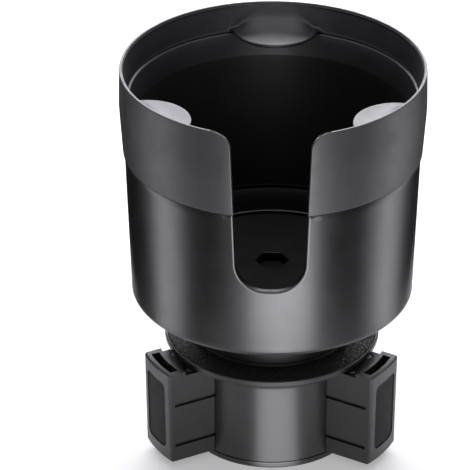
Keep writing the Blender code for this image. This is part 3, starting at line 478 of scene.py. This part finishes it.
def softened(corners, steps=5):
    """A closed outline from (x, y, rounding) corners, each corner drawn as an arc."""
    points = []
    for i, (x, y, rounding) in enumerate(corners):
        here = Vector((x, y))
        if not rounding:
            points.append((x, y))
            continue
        before = (Vector(corners[i - 1][:2]) - here).normalized()
        after = (Vector(corners[(i + 1) % len(corners)][:2]) - here).normalized()
        half = before.angle(after) / 2
        centre = here + (before + after).normalized() * (rounding / math.sin(half))
        start = here + before * (rounding / math.tan(half)) - centre
        end = here + after * (rounding / math.tan(half)) - centre
        turn = math.atan2(start.x * end.y - start.y * end.x, start.dot(end))
        for k in range(steps + 1):
            points.append(tuple(centre + Matrix.Rotation(turn * k / steps, 2) @ start))
    return points


def eased(share):
    """A share between 0 and 1 that starts and ends gently."""
    share = min(max(share, 0.0), 1.0)
    return share * share * (3 - 2 * share)


soft_square = softened([(0, 0, 1), (9, 0, 1), (9, 9, 1), (0, 9, 1)])
print("points of a square with soft corners:", len(soft_square))

# %% [markdown]
# ## Tools for bodies
#
# One tool spins an outline round the axis, and one fills a flat outline with triangles that pass through
# evenly placed points, so that it can be bent afterwards. Where a wall is neither turned nor flat, rows
# of points are stitched together one by one. The last tool makes the finished piece and tells which solid
# it stands for.

# %% Turned bodies and filled sheets


def on_cup(angle, radius, height):
    """A point round the cup: angle 0 is the front, where the notch is."""
    return radius * math.sin(angle), -radius * math.cos(angle), height


def turned(outline, columns, radius_at=None):
    """Spins a closed outline of (radius, height) once round the axis."""
    size = len(outline)
    points = []
    for column in range(columns):
        angle = 2 * math.pi * column / columns
        for radius, height in outline:
            points.append(on_cup(angle, radius_at(radius, angle) if radius_at else radius, height))
    faces = []
    for column in range(columns):
        here = column * size
        there = (column + 1) % columns * size
        for i in range(size):
            j = (i + 1) % size
            faces.append((here + i, there + i, there + j, here + j))
    return points, faces


def filled(border, inside):
    """Triangles that fill a closed border and pass through the inside points."""
    flat = [Vector(point) for point in border + inside]
    edges = [(i, (i + 1) % len(border)) for i in range(len(border))]
    made = delaunay_2d_cdt(flat, edges, [], 1, 1e-7)
    first = [sources[0] for sources in made[3]]
    return [tuple(first[i] for i in face) for face in made[2]]


print("a square fills with", len(filled([(0, 0), (1, 0), (1, 1), (0, 1)], [(0.5, 0.5)])), "triangles")

# %% Stitched rows and finished pieces


class Shell:
    """A body that grows row by row."""

    def __init__(self):
        self.points = []
        self.faces = []

    def add_row(self, row):
        """Adds points and tells where they start."""
        self.points.extend(row)
        return len(self.points) - len(row)

    def stitch(self, first, second, count):
        """Joins two rows of points with quads."""
        for i in range(count - 1):
            self.faces.append((first + i, first + i + 1, second + i + 1, second + i))


def piece_from(name, points, faces, finish, body, slot, stands_for):
    """Makes a closed, smooth piece from points in mm. It rides on a body and stands for one CAD node."""
    mesh = bpy.data.meshes.new(name)
    mesh.from_pydata([Vector(point) * MM for point in points], [], faces)
    bm = bmesh.new()
    bm.from_mesh(mesh)
    bmesh.ops.remove_doubles(bm, verts=bm.verts, dist=0.000001)
    bmesh.ops.dissolve_degenerate(bm, edges=bm.edges, dist=0.000001)
    bmesh.ops.recalc_face_normals(bm, faces=bm.faces)
    open_edges = sum(1 for edge in bm.edges if not edge.is_manifold)
    bm.to_mesh(mesh)
    bm.free()
    mesh.shade_smooth()
    mesh.materials.append(finish)
    piece = bpy.data.objects.new(name, mesh)
    scene.collection.objects.link(piece)
    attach(piece, body)
    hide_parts(stands_for)
    print(name, len(mesh.polygons), "faces,", open_edges, "open edges")
    return piece


def refinish(piece, finish, chosen):
    """Gives another finish to the faces whose centre, in mm, is chosen."""
    piece.data.materials.append(finish)
    last = len(piece.data.materials) - 1
    changed = [face for face in piece.data.polygons if chosen(*(face.center / MM))]
    for face in changed:
        face.material_index = last
    print(piece.name, len(changed), "faces in", finish.name)


# %% [markdown]
# ## The notch seen from the front
#
# A mug's handle passes through a tall U in the front wall. Its sides lean out slightly towards the top
# and its upper corners roll out into the rim. Every wall that it cuts needs the same curve, so it is
# written once, as points that each know which way the plastic lies. Cutting with a Boolean is quicker,
# but it leaves ragged triangles that a later bevel can't follow.

# %% Describe the notch
CORNER_Z = 141.5
CORNER_ROUND = 6.5
FOOT_X = 1.65
FOOT_Z = 96.5
HALF_TOP = 13.75
HALF_FOOT = 12.15
FOOT_ROUND = 10.5
EDGE_STEP = 0.9


def notch_half_width(height):
    """Half width of the notch at a height, and how squarely its edge stands there."""
    share = (min(height, CORNER_Z) - FOOT_Z) / (CORNER_Z - FOOT_Z)
    rise = min(max((height - CORNER_Z) / CORNER_ROUND, 0.0), 1.0)
    square = math.sqrt(1.0 - rise * rise)
    return HALF_FOOT + (HALF_TOP - HALF_FOOT) * share + CORNER_ROUND * (1.0 - square), square


def notch_samples(top, corner, stops):
    """Points down the right edge of the notch, as (x, z, towards_x, towards_z) into the plastic."""
    samples = []
    centre_x = notch_half_width(top - corner)[0] + corner
    for t in (math.radians(90 + 15 * k) for k in range(7)):
        x = centre_x + corner * math.cos(t)
        samples.append((x, top - corner + corner * math.sin(t), -math.cos(t), -math.sin(t)))
    heights = {round(top - corner - EDGE_STEP * k, 3) for k in range(1, 50)} | set(stops)
    for z in sorted((z for z in heights if FOOT_Z < z < top - corner - 0.05), reverse=True):
        samples.append((notch_half_width(z)[0], z, 1.0, 0.0))
    for t in (math.radians(-5 * k) for k in range(19)):
        x = FOOT_X + FOOT_ROUND * math.cos(t)
        samples.append((x, FOOT_Z + FOOT_ROUND * math.sin(t), math.cos(t), math.sin(t)))
    samples.append((FOOT_X / 2, FOOT_Z - FOOT_ROUND, 0.0, -1.0))
    return samples


print("notch width at the top in mm:", 2 * HALF_TOP, "lowest point at", FOOT_Z - FOOT_ROUND)

# %% [markdown]
# ## The shape of the cup wall
#
# The cup is moulded in one piece, with a wall that widens upwards so that it leaves the tool. It steps
# back by about a millimetre where the rim band sits on it, and inside it opens like a funnel towards the
# seat of the grip ring. Two functions tell the radius at any height, and every row of points below asks
# them.

# %% Describe the cup wall
WALL_TOP = 141.0
WALL_CORNER = 1.5
BAND_LOW = 116.0
CREASE_Z = 134.0
LEDGE = 115.7
LEDGE_ROUND = 0.25
UNDER_BAND_R = 52.05
UNDER_BAND_GROWTH = 0.95
FOOT_EDGE_Z = 62.5
FOOT_EDGE_R = 50.95
WALL_GROWTH = 1.85
INSIDE_R = 49.0
FUNNEL_LOW = 128.6
FUNNEL_GROWTH = 1.8
LINER_SEAT = 137.4
SEAT_ROUND = 0.45
SEAT_R = 52.1
SEAT_LEAN = 0.122


def wall_outside(z):
    """Outer radius of the cup, which steps back under the rim band."""
    if z > LEDGE:
        return UNDER_BAND_R + UNDER_BAND_GROWTH * min((z - LEDGE) / (CREASE_Z - LEDGE), 1.0)
    radius = FOOT_EDGE_R + WALL_GROWTH * (z - FOOT_EDGE_Z) / (BAND_LOW - FOOT_EDGE_Z)
    over = z - LEDGE + LEDGE_ROUND
    return radius - (LEDGE_ROUND - math.sqrt(LEDGE_ROUND ** 2 - over ** 2) if over > 0 else 0.0)


def wall_inside(z):
    """Inner radius of the cup, which opens towards the grip ring's seat."""
    if z > LINER_SEAT:
        return SEAT_R + SEAT_LEAN * (z - LINER_SEAT)
    over = max(z - LINER_SEAT + SEAT_ROUND, 0.0)
    rolled = SEAT_ROUND - math.sqrt(SEAT_ROUND ** 2 - over ** 2)
    return INSIDE_R + FUNNEL_GROWTH * max(0.0, z - FUNNEL_LOW) / (LINER_SEAT - FUNNEL_LOW) + rolled


def straight_through(angle, z, radius):
    """Moves a point to another radius: straight back near the notch, and towards the axis further round."""
    x = wall_outside(z) * math.sin(angle)
    fade = eased((math.radians(45) - abs(angle)) / math.radians(20))
    if fade:
        angle += fade * (math.asin(x / radius) - angle)
    return on_cup(angle, radius, z)


print("wall at mid height in mm:", round(wall_outside(100.0) - wall_inside(100.0), 2))

# %% [markdown]
# ## The rolled edge of the notch
#
# Where the notch cuts the wall, the tool leaves a rounded edge on the outside and a smaller one inside.
# That roll is what draws the light line round the notch, so it is made as rows of points that follow the
# notch curve. A bevel would do it on a simpler wall, but here it would slip off at the step under the
# band.

# %% Follow the notch round the cup wall
COLUMN = math.radians(2)
STOPS = (
    *(LINER_SEAT + d for d in (0.02, -0.02, -0.12, -0.28, -SEAT_ROUND)), FUNNEL_LOW + 0.1, FUNNEL_LOW - 0.1,
    LEDGE + 0.02, LEDGE - 0.02, LEDGE - 0.08, LEDGE - LEDGE_ROUND,
)
OUTER_ROLL = 0.9
OUTER_ROLL_UNDER_BAND = 0.3
INNER_ROLL = 0.5
INNER_ROLL_AT_SEAT = 0.2

right_edge = [(k * COLUMN, WALL_TOP, 0.0, -1.0, True) for k in range(90, 9, -1)]
right_edge += [sample + (False,) for sample in notch_samples(WALL_TOP, WALL_CORNER, STOPS)]
left_edge = [(-a, z, -u, v, top) for a, z, u, v, top in reversed(right_edge)]
wall_edge = right_edge + left_edge


def edge_at(sample, depth):
    """Angle and height of an edge sample moved into the plastic."""
    across, z, u, v, on_top = sample
    z += v * depth
    if on_top:
        return across, z
    return math.asin((across + u * depth) / wall_outside(z)), z


def rolled_row(turn, outside):
    """One row of the rolled edge. At turn 0 it lies on the cut, at 90 degrees on the wall."""
    row = []
    for sample in wall_edge:
        z = sample[1]
        if outside:
            roll = OUTER_ROLL if z < LEDGE else OUTER_ROLL_UNDER_BAND
        else:
            roll = INNER_ROLL if z < LINER_SEAT else INNER_ROLL_AT_SEAT
        angle, z = edge_at(sample, roll * (1 - math.cos(turn)))
        drop = roll * (1 - math.sin(turn))
        radius = wall_outside(z) - drop if outside else wall_inside(z) + drop
        row.append(straight_through(angle, z, radius))
    return row


print("points along the edge:", len(wall_edge))

# %% [markdown]
# ## A sheet wrapped round the cup
#
# The wall behind that edge is a flat sheet wrapped round the cup. It is drawn unrolled, with angle and
# height as its two sides. Its border follows the notch, and its points stand on an even grid with extra
# rows at the steps. Points too near the rolled edge are left out, so that no thin triangles pucker the
# gloss.

# %% Fill the unrolled wall
WALL_LOW = 80.0
EDGE_BAND = 1.2
EDGE_CLEAR = 1.0
UNROLLED_R = 53.0

band_flat = [edge_at(sample, EDGE_BAND) for sample in wall_edge]
rows = list(STOPS)
rows += [z for z in range(83, 139, 3) if all(abs(z - stop) > 0.8 for stop in STOPS)]
columns = [k * COLUMN for k in range(-89, 90)]


def clear_of_notch(angle, z):
    """True where a grid point isn't crowded against the rolled edge."""
    if abs(angle) > math.radians(60):
        return True
    x = abs(wall_outside(z) * math.sin(angle))
    if z < FOOT_Z:
        return math.hypot(max(x - FOOT_X, 0.0), z - FOOT_Z) > FOOT_ROUND + EDGE_BAND + EDGE_CLEAR
    return x > notch_half_width(z)[0] + EDGE_BAND + EDGE_CLEAR


grid = [(angle, z) for angle in columns for z in rows if clear_of_notch(angle, z)]
seam = sorted(rows)
low_row = [(-math.pi, WALL_LOW)] + [(angle, WALL_LOW) for angle in columns] + [(math.pi, WALL_LOW)]
border = band_flat + [(-math.pi, z) for z in reversed(seam)] + low_row + [(math.pi, z) for z in seam]
sheet = filled([(a * UNROLLED_R, z) for a, z in border], [(a * UNROLLED_R, z) for a, z in grid])
print("triangles in the unrolled wall:", len(sheet))

# %% [markdown]
# ## The cup wall, whole
#
# The same sheet is bent twice, once to the outer and once to the inner radius. The rolled edge joins on
# in rows towards the cut, and below the sheet the foot curves under into the bottom, which ends at the
# bolt's hole. At the end both skins are stitched together, so that the wall is one closed body, as a
# moulding is.

# %% Make the cup wall
CUP_BOTTOM = 59.0
FLOOR_TOP = 61.3
FOOT_CURVE = 2.2
INNER_CURVE = 2.0
BOLT_HOLE_R = 3.3

foot_outside = [(wall_outside(z), z) for z in (76.0, 70.0, 65.0, 62.8)]
foot_outside += arc_points((FOOT_EDGE_R - FOOT_CURVE, CUP_BOTTOM + FOOT_CURVE), FOOT_CURVE, 0, -90, 8)
foot_outside += [(radius, CUP_BOTTOM) for radius in (42.0, 34.0, 20.0, 8.0, BOLT_HOLE_R)]
foot_inside = [(INSIDE_R, 74.0), (INSIDE_R, 67.0)]
foot_inside += arc_points((INSIDE_R - INNER_CURVE, FLOOR_TOP + INNER_CURVE), INNER_CURVE, 0, -90, 6)
foot_inside += [(radius, FLOOR_TOP) for radius in (40.0, 20.0, 8.0, BOLT_HOLE_R)]

wall = Shell()
cut_rows = {}
hole_rows = {}
for outside in (True, False):
    reach = wall_outside if outside else wall_inside
    start = wall.add_row([straight_through(a, z, reach(z)) for a, z in border + grid])
    wall.faces.extend(tuple(start + i for i in face) for face in sheet)
    last = start
    for step in range(6, -1, -1):
        row = wall.add_row(rolled_row(math.radians(15 * step), outside))
        wall.stitch(last, row, len(wall_edge))
        last = row
    cut_rows[outside] = last
    last = start + len(band_flat) + len(seam)
    for radius, z in foot_outside if outside else foot_inside:
        row = wall.add_row([on_cup(angle, radius, z) for angle, _ in low_row])
        wall.stitch(last, row, len(low_row))
        last = row
    hole_rows[outside] = last
wall.stitch(cut_rows[True], cut_rows[False], len(wall_edge))
wall.stitch(hole_rows[True], hole_rows[False], len(low_row))
cup_wall = piece_from("cup_wall", wall.points, wall.faces, CUP_GLOSS, "cup", "cup_gloss", "cup_shell")

# %% Paint light and shade inside the cup


def in_the_cup(x, y, z):
    """True on the inner skin of the cup wall."""
    return z > 61.0 and math.hypot(x, y) < wall_inside(z) + 0.3


# The inner skin of the one cup moulding gets the copy with painted light and shade: its colour lifted, and
# its gloss cut down so the inside reads dark.
refinish(cup_wall, INSIDE_PAINTED_LIGHT_AND_SHADE, in_the_cup)
# The funnel under the grip ring faces up a little, so it takes the ring's lighter, glossier finish as
# painted light.
refinish(cup_wall, LINER_SOFT, lambda x, y, z: z > FUNNEL_LOW and in_the_cup(x, y, z))

# %% [markdown]
# ## Sweeping round the cup, with a gap for the notch
#
# The band and the grip ring are both thick lines swept round the cup. Such a line is described from foot
# to top, each station with an outer and an inner point. Stopping each station at the notch gives clean
# ends, and pulling the last columns in makes the small roll along the cut.

# %% Sweep a thick line round the cup
ROLL_TURNS = [math.radians(15 * k) for k in range(7)]
PLAIN_ANGLES = [math.radians(a) for a in range(32, 329, 2)]
SPREADING = (0.2, 0.45, 0.7)


def inward(chain, i):
    """Unit direction from a chain of (radius, height) points into the plastic on its left."""
    before, after = chain[max(i - 1, 0)], chain[min(i + 1, len(chain) - 1)]
    along = (Vector(after) - Vector(before)).normalized()
    return Vector((-along.y, along.x))


def notch_end(chain, side):
    """Columns from the cut to the first plain one: the roll, then three that spread out."""
    rolled = []
    for turn in ROLL_TURNS:
        column = []
        for (radius, z), into, roll in chain:
            drop = roll * (1 - math.sin(turn))
            r, height = radius + into.x * drop, z + into.y * drop
            half, square = notch_half_width(z)
            along = half + roll * (1 - math.cos(turn)) / max(square, 0.4)
            column.append((side * math.asin(along / r), r, height))
        rolled.append(column)
    spread = []
    for share in SPREADING:
        column = []
        for (angle, _, _), ((radius, height), _, _) in zip(rolled[-1], chain):
            column.append((angle + (side * PLAIN_ANGLES[0] - angle) * share, radius, height))
        spread.append(column)
    return rolled + spread


def swept_band(outer, inner, outer_roll, inner_roll):
    """Sweeps matched outer and inner chains round the cup from one side of the notch to the other."""
    chain = [(point, inward(outer, i), outer_roll) for i, point in enumerate(outer)]
    chain += [(point, -inward(inner, i), inner_roll) for i, point in reversed(list(enumerate(inner)))]
    middle = [[(angle, *point) for point, _, _ in chain] for angle in PLAIN_ANGLES]
    ordered = notch_end(chain, 1) + middle + notch_end(chain, -1)[::-1]
    size = len(chain)
    points = [on_cup(*spot) for column in ordered for spot in column]
    faces = []
    for c in range(len(ordered) - 1):
        for i in range(size):
            j = (i + 1) % size
            faces.append((c * size + i, (c + 1) * size + i, (c + 1) * size + j, c * size + j))
    for start in (0, (len(ordered) - 1) * size):
        for i in range(size // 2 - 1):
            j = size - 1 - i
            faces.append((start + i, start + i + 1, start + j - 1, start + j))
    return points, faces


print("columns between the notch's ends:", len(PLAIN_ANGLES))

# %% [markdown]
# ## The rim band
#
# A matt band wraps the top of the cup, a little wider than the cup itself, with a faint crease half way
# up and a thin rolled rim. The crease is only a change of slope, softened over a few millimetres, because
# a sharp line would look like a gap between two bands.

# %% Describe the band
RIM_TOP = 148.0
RIM_R = 54.3
RIM_ROLL = 0.32
RIM_INNER_ROLL = 0.2
CREASE_R = 54.6
CREASE_REACH = 2.5
CREASE_DIP = 0.06
BAND_FOOT_R = 53.35
BAND_INSIDE_R = 52.3
BAND_INSIDE_GROWTH = 1.0


def band_outside(z):
    """Outer radius of the band, its crease softened over a few millimetres."""
    low = BAND_FOOT_R + (CREASE_R - BAND_FOOT_R) * (z - BAND_LOW) / (CREASE_Z - BAND_LOW)
    high = CREASE_R + (RIM_R - CREASE_R) * (z - CREASE_Z) / (RIM_TOP - RIM_ROLL - CREASE_Z)
    if abs(z - CREASE_Z) < CREASE_REACH:
        share = (z - CREASE_Z + CREASE_REACH) / (2 * CREASE_REACH)
        return low + (high - low) * eased(share) - CREASE_DIP * (1 - (2 * share - 1) ** 2)
    return low if z < CREASE_Z else high


def band_inside(z):
    """Inner radius of the band, a hair outside the cup it is pressed on."""
    return BAND_INSIDE_R + BAND_INSIDE_GROWTH * min((z - BAND_LOW) / (CREASE_Z - BAND_LOW), 1.0)


print("band's widest radius in mm:", round(max(band_outside(BAND_LOW + k / 10) for k in range(300)), 2))

# %% Make the rim band
BAND_FOOT_ROLL = 0.45
BAND_OUTER_ROLL = 0.55
BAND_INNER_ROLL = 0.12

foot_centre = (band_outside(BAND_LOW + BAND_FOOT_ROLL) - BAND_FOOT_ROLL, BAND_LOW + BAND_FOOT_ROLL)
band_heights = [117.5 + 2.0 * k for k in range(7)] + [131.5 + 0.5 * k for k in range(11)]
band_heights += [138.0, 139.5, 141.0] + [141.8 + 0.5 * k for k in range(10)]
band_outer = arc_points(foot_centre, BAND_FOOT_ROLL, -90, 0, 4)
band_inner = [(band_inside(BAND_LOW) + 0.02 * i, max(z, BAND_LOW)) for i, (_, z) in enumerate(band_outer)]
band_outer += [(band_outside(z), z) for z in band_heights]
band_inner += [(band_inside(z), z) for z in band_heights]
band_outer += arc_points((RIM_R - RIM_ROLL, RIM_TOP - RIM_ROLL), RIM_ROLL, 0, 90, 6)
inner_rim = (band_inside(RIM_TOP) + RIM_INNER_ROLL, RIM_TOP - RIM_INNER_ROLL)
band_inner += arc_points(inner_rim, RIM_INNER_ROLL, 180, 90, 6)
band = swept_band(band_outer, band_inner, BAND_OUTER_ROLL, BAND_INNER_ROLL)
rim_band = piece_from("rim_band", *band, COLLAR_MATTE, "cup", "collar_matte", "collar")
refinish(rim_band, LINER_SOFT, lambda x, y, z: z > RIM_TOP - 0.2)

# %% [markdown]
# ## The grip ring
#
# Inside the rim sits a soft ring with three rounded tabs that steady a narrow bottle. The ring itself is
# a thin lip that leans outwards and ends in a fine edge just under the rim. It is swept as the band was,
# because it has the same gap at the notch.

# %% Sweep the ring
RING_IN = 51.35
RING_OUT = 52.0
RING_LOW = 137.7
RING_TOP = 147.5
RING_ROUND = 0.2
RING_LEAN = 0.19
RING_OUTER_ROLL = 0.15
RING_INNER_ROLL = 0.25

ring_heights = [138.0, 139.0, 140.0, 141.2] + [141.8 + 0.5 * k for k in range(11)]
ring_outer = arc_points((RING_OUT - RING_ROUND, RING_LOW + RING_ROUND), RING_ROUND, -90, 0, 2)
ring_inner = arc_points((RING_IN + RING_ROUND, RING_LOW + RING_ROUND), RING_ROUND, 270, 180, 2)
ring_outer += [(RING_OUT + SEAT_LEAN * (z - RING_LOW), z) for z in ring_heights]
ring_inner += [(RING_IN + RING_LEAN * (z - RING_LOW), z) for z in ring_heights]
ring_outer += [(53.2, 147.35), (53.18, RING_TOP)]
ring_inner += [(52.98, 147.1), (53.12, RING_TOP)]
ring = swept_band(ring_outer, ring_inner, RING_OUTER_ROLL, RING_INNER_ROLL)
print("points in the ring:", len(ring[0]))

# %% [markdown]
# ## The plan of a tab
#
# Seen from above, a tab is a round lobe with two small curves that lead back into the ring. These curves
# touch both the lobe and the ring, and a little trigonometry finds their centres. Moving the whole edge
# inwards gives the rows for its round edge, as it did on the notch.

# %% Draw the edge of a tab
TAB_TIP = 34.7
TAB_ROUND = 15.6
TAB_ROOT = 2.0
TAB_DEEP = 51.8

root_distance = RING_IN + 0.2 - TAB_ROOT
lobe = TAB_TIP + TAB_ROUND
root_x = (root_distance ** 2 + lobe ** 2 - (TAB_ROUND + TAB_ROOT) ** 2) / (2 * lobe)
root_y = math.sqrt(root_distance ** 2 - root_x ** 2)
lobe_side = math.atan2(root_y, root_x - lobe)


def tab_row(depth):
    """The free edge of a tab moved inwards by depth, from ring to ring round the lobe."""
    reach = TAB_ROOT + depth
    base = math.hypot(root_x, root_y)
    swing = math.acos(min((TAB_DEEP ** 2 - base ** 2 - reach ** 2) / (2 * base * reach), 1.0))
    start = math.atan2(root_y, root_x) - swing
    end = lobe_side - math.pi
    half = []
    for k in range(14):
        t = start + (end - start) * k / 13
        half.append((root_x + reach * math.cos(t), root_y + reach * math.sin(t)))
    for k in range(1, 25):
        t = lobe_side + (math.pi - lobe_side) * k / 24
        half.append((lobe + (TAB_ROUND - depth) * math.cos(t), (TAB_ROUND - depth) * math.sin(t)))
    return half + [(x, -y) for x, y in reversed(half[:-1])]


print("tab width at its root in mm:", round(2 * root_y, 1))

# %% [markdown]
# ## The hollow of a tab
#
# A tab is flat along its free edge. Behind that its upper face sweeps up into the ring in a quarter of an
# ellipse, like a small saddle, and its root leans outwards with the ring. Both are written as functions
# of the place in the plan, so that they can bend any row of points.

# %% Describe the tab's surface
TAB_SURFACE = 139.3
TAB_FLAT_END = 37.5
TAB_RISE = 7.0
TAB_CLEAR = 11.0
TAB_LEAN = 0.16
LEAN_STARTS = 43.0
LEAN_LENGTH = 7.5


def tab_top(x, y):
    """Height of the tab: flat along its free edge, with a hollow that sweeps up into the ring behind."""
    share = min(max((math.hypot(x, y) - TAB_FLAT_END) / (TAB_DEEP - TAB_FLAT_END), 0.0), 1.0)
    clear = eased((TAB_ROUND - math.hypot(x - lobe, y)) / TAB_CLEAR)
    return TAB_SURFACE + TAB_RISE * (1 - math.sqrt(1 - share * share)) * clear


def leaned(point):
    """Leans the root of a tab outwards with the ring, which opens towards the rim."""
    x, y, z = point
    radius = math.hypot(x, y)
    share = eased((radius - LEAN_STARTS) / LEAN_LENGTH)
    spread = 1 + TAB_LEAN * max(z - RING_LOW, 0.0) * share / radius
    return x * spread, y * spread, z


print("tab height at the ring in mm:", round(tab_top(lobe, 0.0) - TAB_SURFACE, 1))

# %% [markdown]
# ## One tab as a closed body
#
# The plan is filled once, with a grid of points inside, and used for the upper and the lower face. Rows
# of points round the edge join the two. The back of the tab ends inside the ring, where nobody sees it.

# %% Fill the tab's plan
TAB_BAND = 1.4
GRID_START = 36.8
GRID_STEP = 0.8
ROOT_CLEAR = 6.3

deep_row = tab_row(TAB_BAND)
back_swing = math.atan2(deep_row[0][1], deep_row[0][0])
back_arc = []
for k in range(-13, 14):
    back_arc.append((TAB_DEEP * math.cos(back_swing * k / 14), TAB_DEEP * math.sin(back_swing * k / 14)))
tab_grid = []
for x in (GRID_START + GRID_STEP * k for k in range(18)):
    for y in (GRID_STEP * j for j in range(-16, 17)):
        in_lobe = math.hypot(x - lobe, y) < TAB_ROUND - 2.2
        behind_roots = x > root_x and math.hypot(x - root_x, abs(y) - root_y) > ROOT_CLEAR
        if math.hypot(x, y) < TAB_DEEP - 0.5 and abs(y) < root_y and (in_lobe or behind_roots):
            tab_grid.append((x, y))
tab_border = deep_row + back_arc
tab_sheet = filled(tab_border, tab_grid)
print("triangles in the tab's plan:", len(tab_sheet))

# %% Raise the tab
TAB_UNDER = 138.0
TAB_EDGE = 0.55

tab = Shell()
edge_rows = {}
for upper in (True, False):
    chain = [tab.add_row([(x, y, tab_top(x, y) if upper else TAB_UNDER) for x, y in tab_border + tab_grid])]
    tab.faces.extend(tuple(chain[0] + i for i in face) for face in tab_sheet)
    for step in range(6, -1, -1):
        turn = math.radians(15 * step)
        lift = TAB_EDGE * (1 - math.sin(turn))
        flat = tab_row(TAB_EDGE * (1 - math.cos(turn)))
        row = tab.add_row([(x, y, tab_top(x, y) - lift if upper else TAB_UNDER + lift) for x, y in flat])
        tab.stitch(chain[-1], row, len(deep_row))
        chain.append(row)
    edge_rows[upper] = chain
above, below = edge_rows[True], edge_rows[False]
tab.stitch(above[-1], below[-1], len(deep_row))
for end in (0, len(deep_row) - 1):
    for k in range(7):
        tab.faces.append((above[k] + end, above[k + 1] + end, below[k + 1] + end, below[k] + end))
back = [len(deep_row) - 1, *range(len(deep_row), len(tab_border)), 0]
for a, b in zip(back, back[1:]):
    tab.faces.append((above[0] + a, above[0] + b, below[0] + b, below[0] + a))
print("points in a tab:", len(tab.points))

# %% [markdown]
# ## Ring and tabs in one
#
# On the real ring the tabs are moulded on, so light runs from one into the other. The tab is turned to
# its three places and merged with the ring by a Boolean, which is clean here, because all bodies are
# closed and overlap well.

# %% Merge the tabs with the ring
TAB_ANGLES = (90, 210, 330)


def merged(first, others):
    """Joins overlapping closed bodies into one with a Boolean and returns its points and faces in mm."""
    objects = []
    for points, faces in [first] + others:
        mesh = bpy.data.meshes.new("part")
        mesh.from_pydata(points, [], faces)
        bm = bmesh.new()
        bm.from_mesh(mesh)
        bmesh.ops.remove_doubles(bm, verts=bm.verts, dist=0.001)
        bmesh.ops.recalc_face_normals(bm, faces=bm.faces)
        bm.to_mesh(mesh)
        bm.free()
        objects.append(bpy.data.objects.new("part", mesh))
        scene.collection.objects.link(objects[-1])
    for other in objects[1:]:
        union = objects[0].modifiers.new("union", "BOOLEAN")
        union.operation = "UNION"
        union.solver = "EXACT"
        union.object = other
    result = objects[0].evaluated_get(bpy.context.evaluated_depsgraph_get()).to_mesh()
    made = [tuple(v.co) for v in result.vertices], [tuple(face.vertices) for face in result.polygons]
    for part in objects:
        bpy.data.objects.remove(part)
    return made


tabs = []
for angle in TAB_ANGLES:
    spin = Matrix.Rotation(math.radians(angle), 3, "Z")
    tabs.append(([tuple(spin @ Vector(leaned(point))) for point in tab.points], tab.faces))
piece_from("grip_ring", *merged(ring, tabs), LINER_SOFT, "cup", "liner_soft", "grip_liner")

# %% [markdown]
# ## The dish
#
# A dished ring leads the foot of a bottle down to the flat floor. It is a plain turned part, so a spun
# outline with softened corners is all it needs. A small bead at the foot of the dish catches the light,
# and a pale painted highlight on it draws the one bright line in the dark cup, so it is part of the
# outline, with a finish of its own.

# %% Make the dish
DISH_LOW_R = 35.9
DISH_TOP_R = 48.85
DISH_TOP_Z = 75.9
DISH_DEPTH = 5.1
BEAD_R = 0.3
BEAD_Z = 70.85

dish_curve = arc_points((DISH_LOW_R - BEAD_R, BEAD_Z), BEAD_R, 180, 0, 8)
for t in (math.radians(3.75 * k) for k in range(1, 25)):
    dish_curve.append((
        DISH_LOW_R + (DISH_TOP_R - DISH_LOW_R) * math.sin(t), DISH_TOP_Z - DISH_DEPTH * math.cos(t),
    ))
dish_back = softened([
    (DISH_TOP_R, 74.8, 0.2), (45.0, 71.0, 2.0), (42.0, 68.9, 0.5), (42.0, 61.6, 0.3), (40.0, 61.6, 0.3),
    (40.0, 67.8, 0.5), (DISH_LOW_R - 2 * BEAD_R, 67.8, 0.2),
])
dish_body = turned(dish_back + dish_curve, 180)
dish = piece_from("dish", *dish_body, DISH_PAINTED_DARKER, "cup", "floor_black", "floor_ring")
# The bead gets the pale painted highlight.
refinish(dish, DISH_BEAD_PAINTED_HIGHLIGHT, lambda x, y, z: z > BEAD_Z and math.hypot(x, y) < DISH_LOW_R)

# %% [markdown]
# ## The flat floor
#
# The flat round floor has a hexagonal opening, through which the bolt is reached with a key. The hexagon
# is spun like the rest, with a radius that changes with the angle and fades back to a circle further out.
# A Boolean would cut it too, but the rounded rim of the opening would then need a second step.

# %% Make the flat floor
HEX_FLATS = 10.6
HEX_ENDS = 12.0
HEX_FADE = 5.0


def hexagon_radius(radius, angle):
    """Radius that follows a hexagon near the middle and a circle further out."""
    if radius > HEX_ENDS:
        return radius
    to_flat = (angle + math.radians(30)) % math.radians(60) - math.radians(30)
    hexagon = HEX_FLATS / 2 / math.cos(to_flat)
    fade = min(max((HEX_ENDS - radius) / HEX_FADE, 0.0), 1.0)
    return radius + (hexagon - HEX_FLATS / 2) * fade


floor_outline = softened([
    (35.0, 70.0, 0.35), (35.0, 67.8, 0.2), (31.6, 67.8, 0), (31.6, 61.6, 0.3), (29.6, 61.6, 0.3),
    (29.6, 67.8, 0), (8.17, 67.8, 0), (8.17, 67.5, 0), (HEX_FLATS / 2, 67.5, 0), (HEX_FLATS / 2, 70.0, 0.3),
])
floor_body = turned(floor_outline, 180, hexagon_radius)
flat_floor = piece_from("flat_floor", *floor_body, FLOOR_PAINTED_LIGHTER, "cup", "floor_black", "floor_disc")
# The walls of the hexagonal hole get the inside finish, darker than the floor: painted shade in the recess.
refinish(flat_floor, INSIDE_PAINTED_LIGHT_AND_SHADE, lambda x, y, z: z < 69.7 and math.hypot(x, y) < 8.0)

# %% [markdown]
# ## The grained pad
#
# A thin black pad with a leather grain lies on the base's flange, under the neck. It is only 0.7 mm thick
# with a rounded outer edge, so its outline is turned with small corners and the grain comes from the
# finish.

# %% Make the grained pad
pad_outline = softened([(38.1, 41.0, 0.15), (38.1, 41.7, 0.35), (28.4, 41.7, 0.1), (28.4, 41.0, 0.1)])
piece_from("grain_pad", *turned(pad_outline, 240), GRAINED_BLACK, "base", "grained_black", "top_pad")
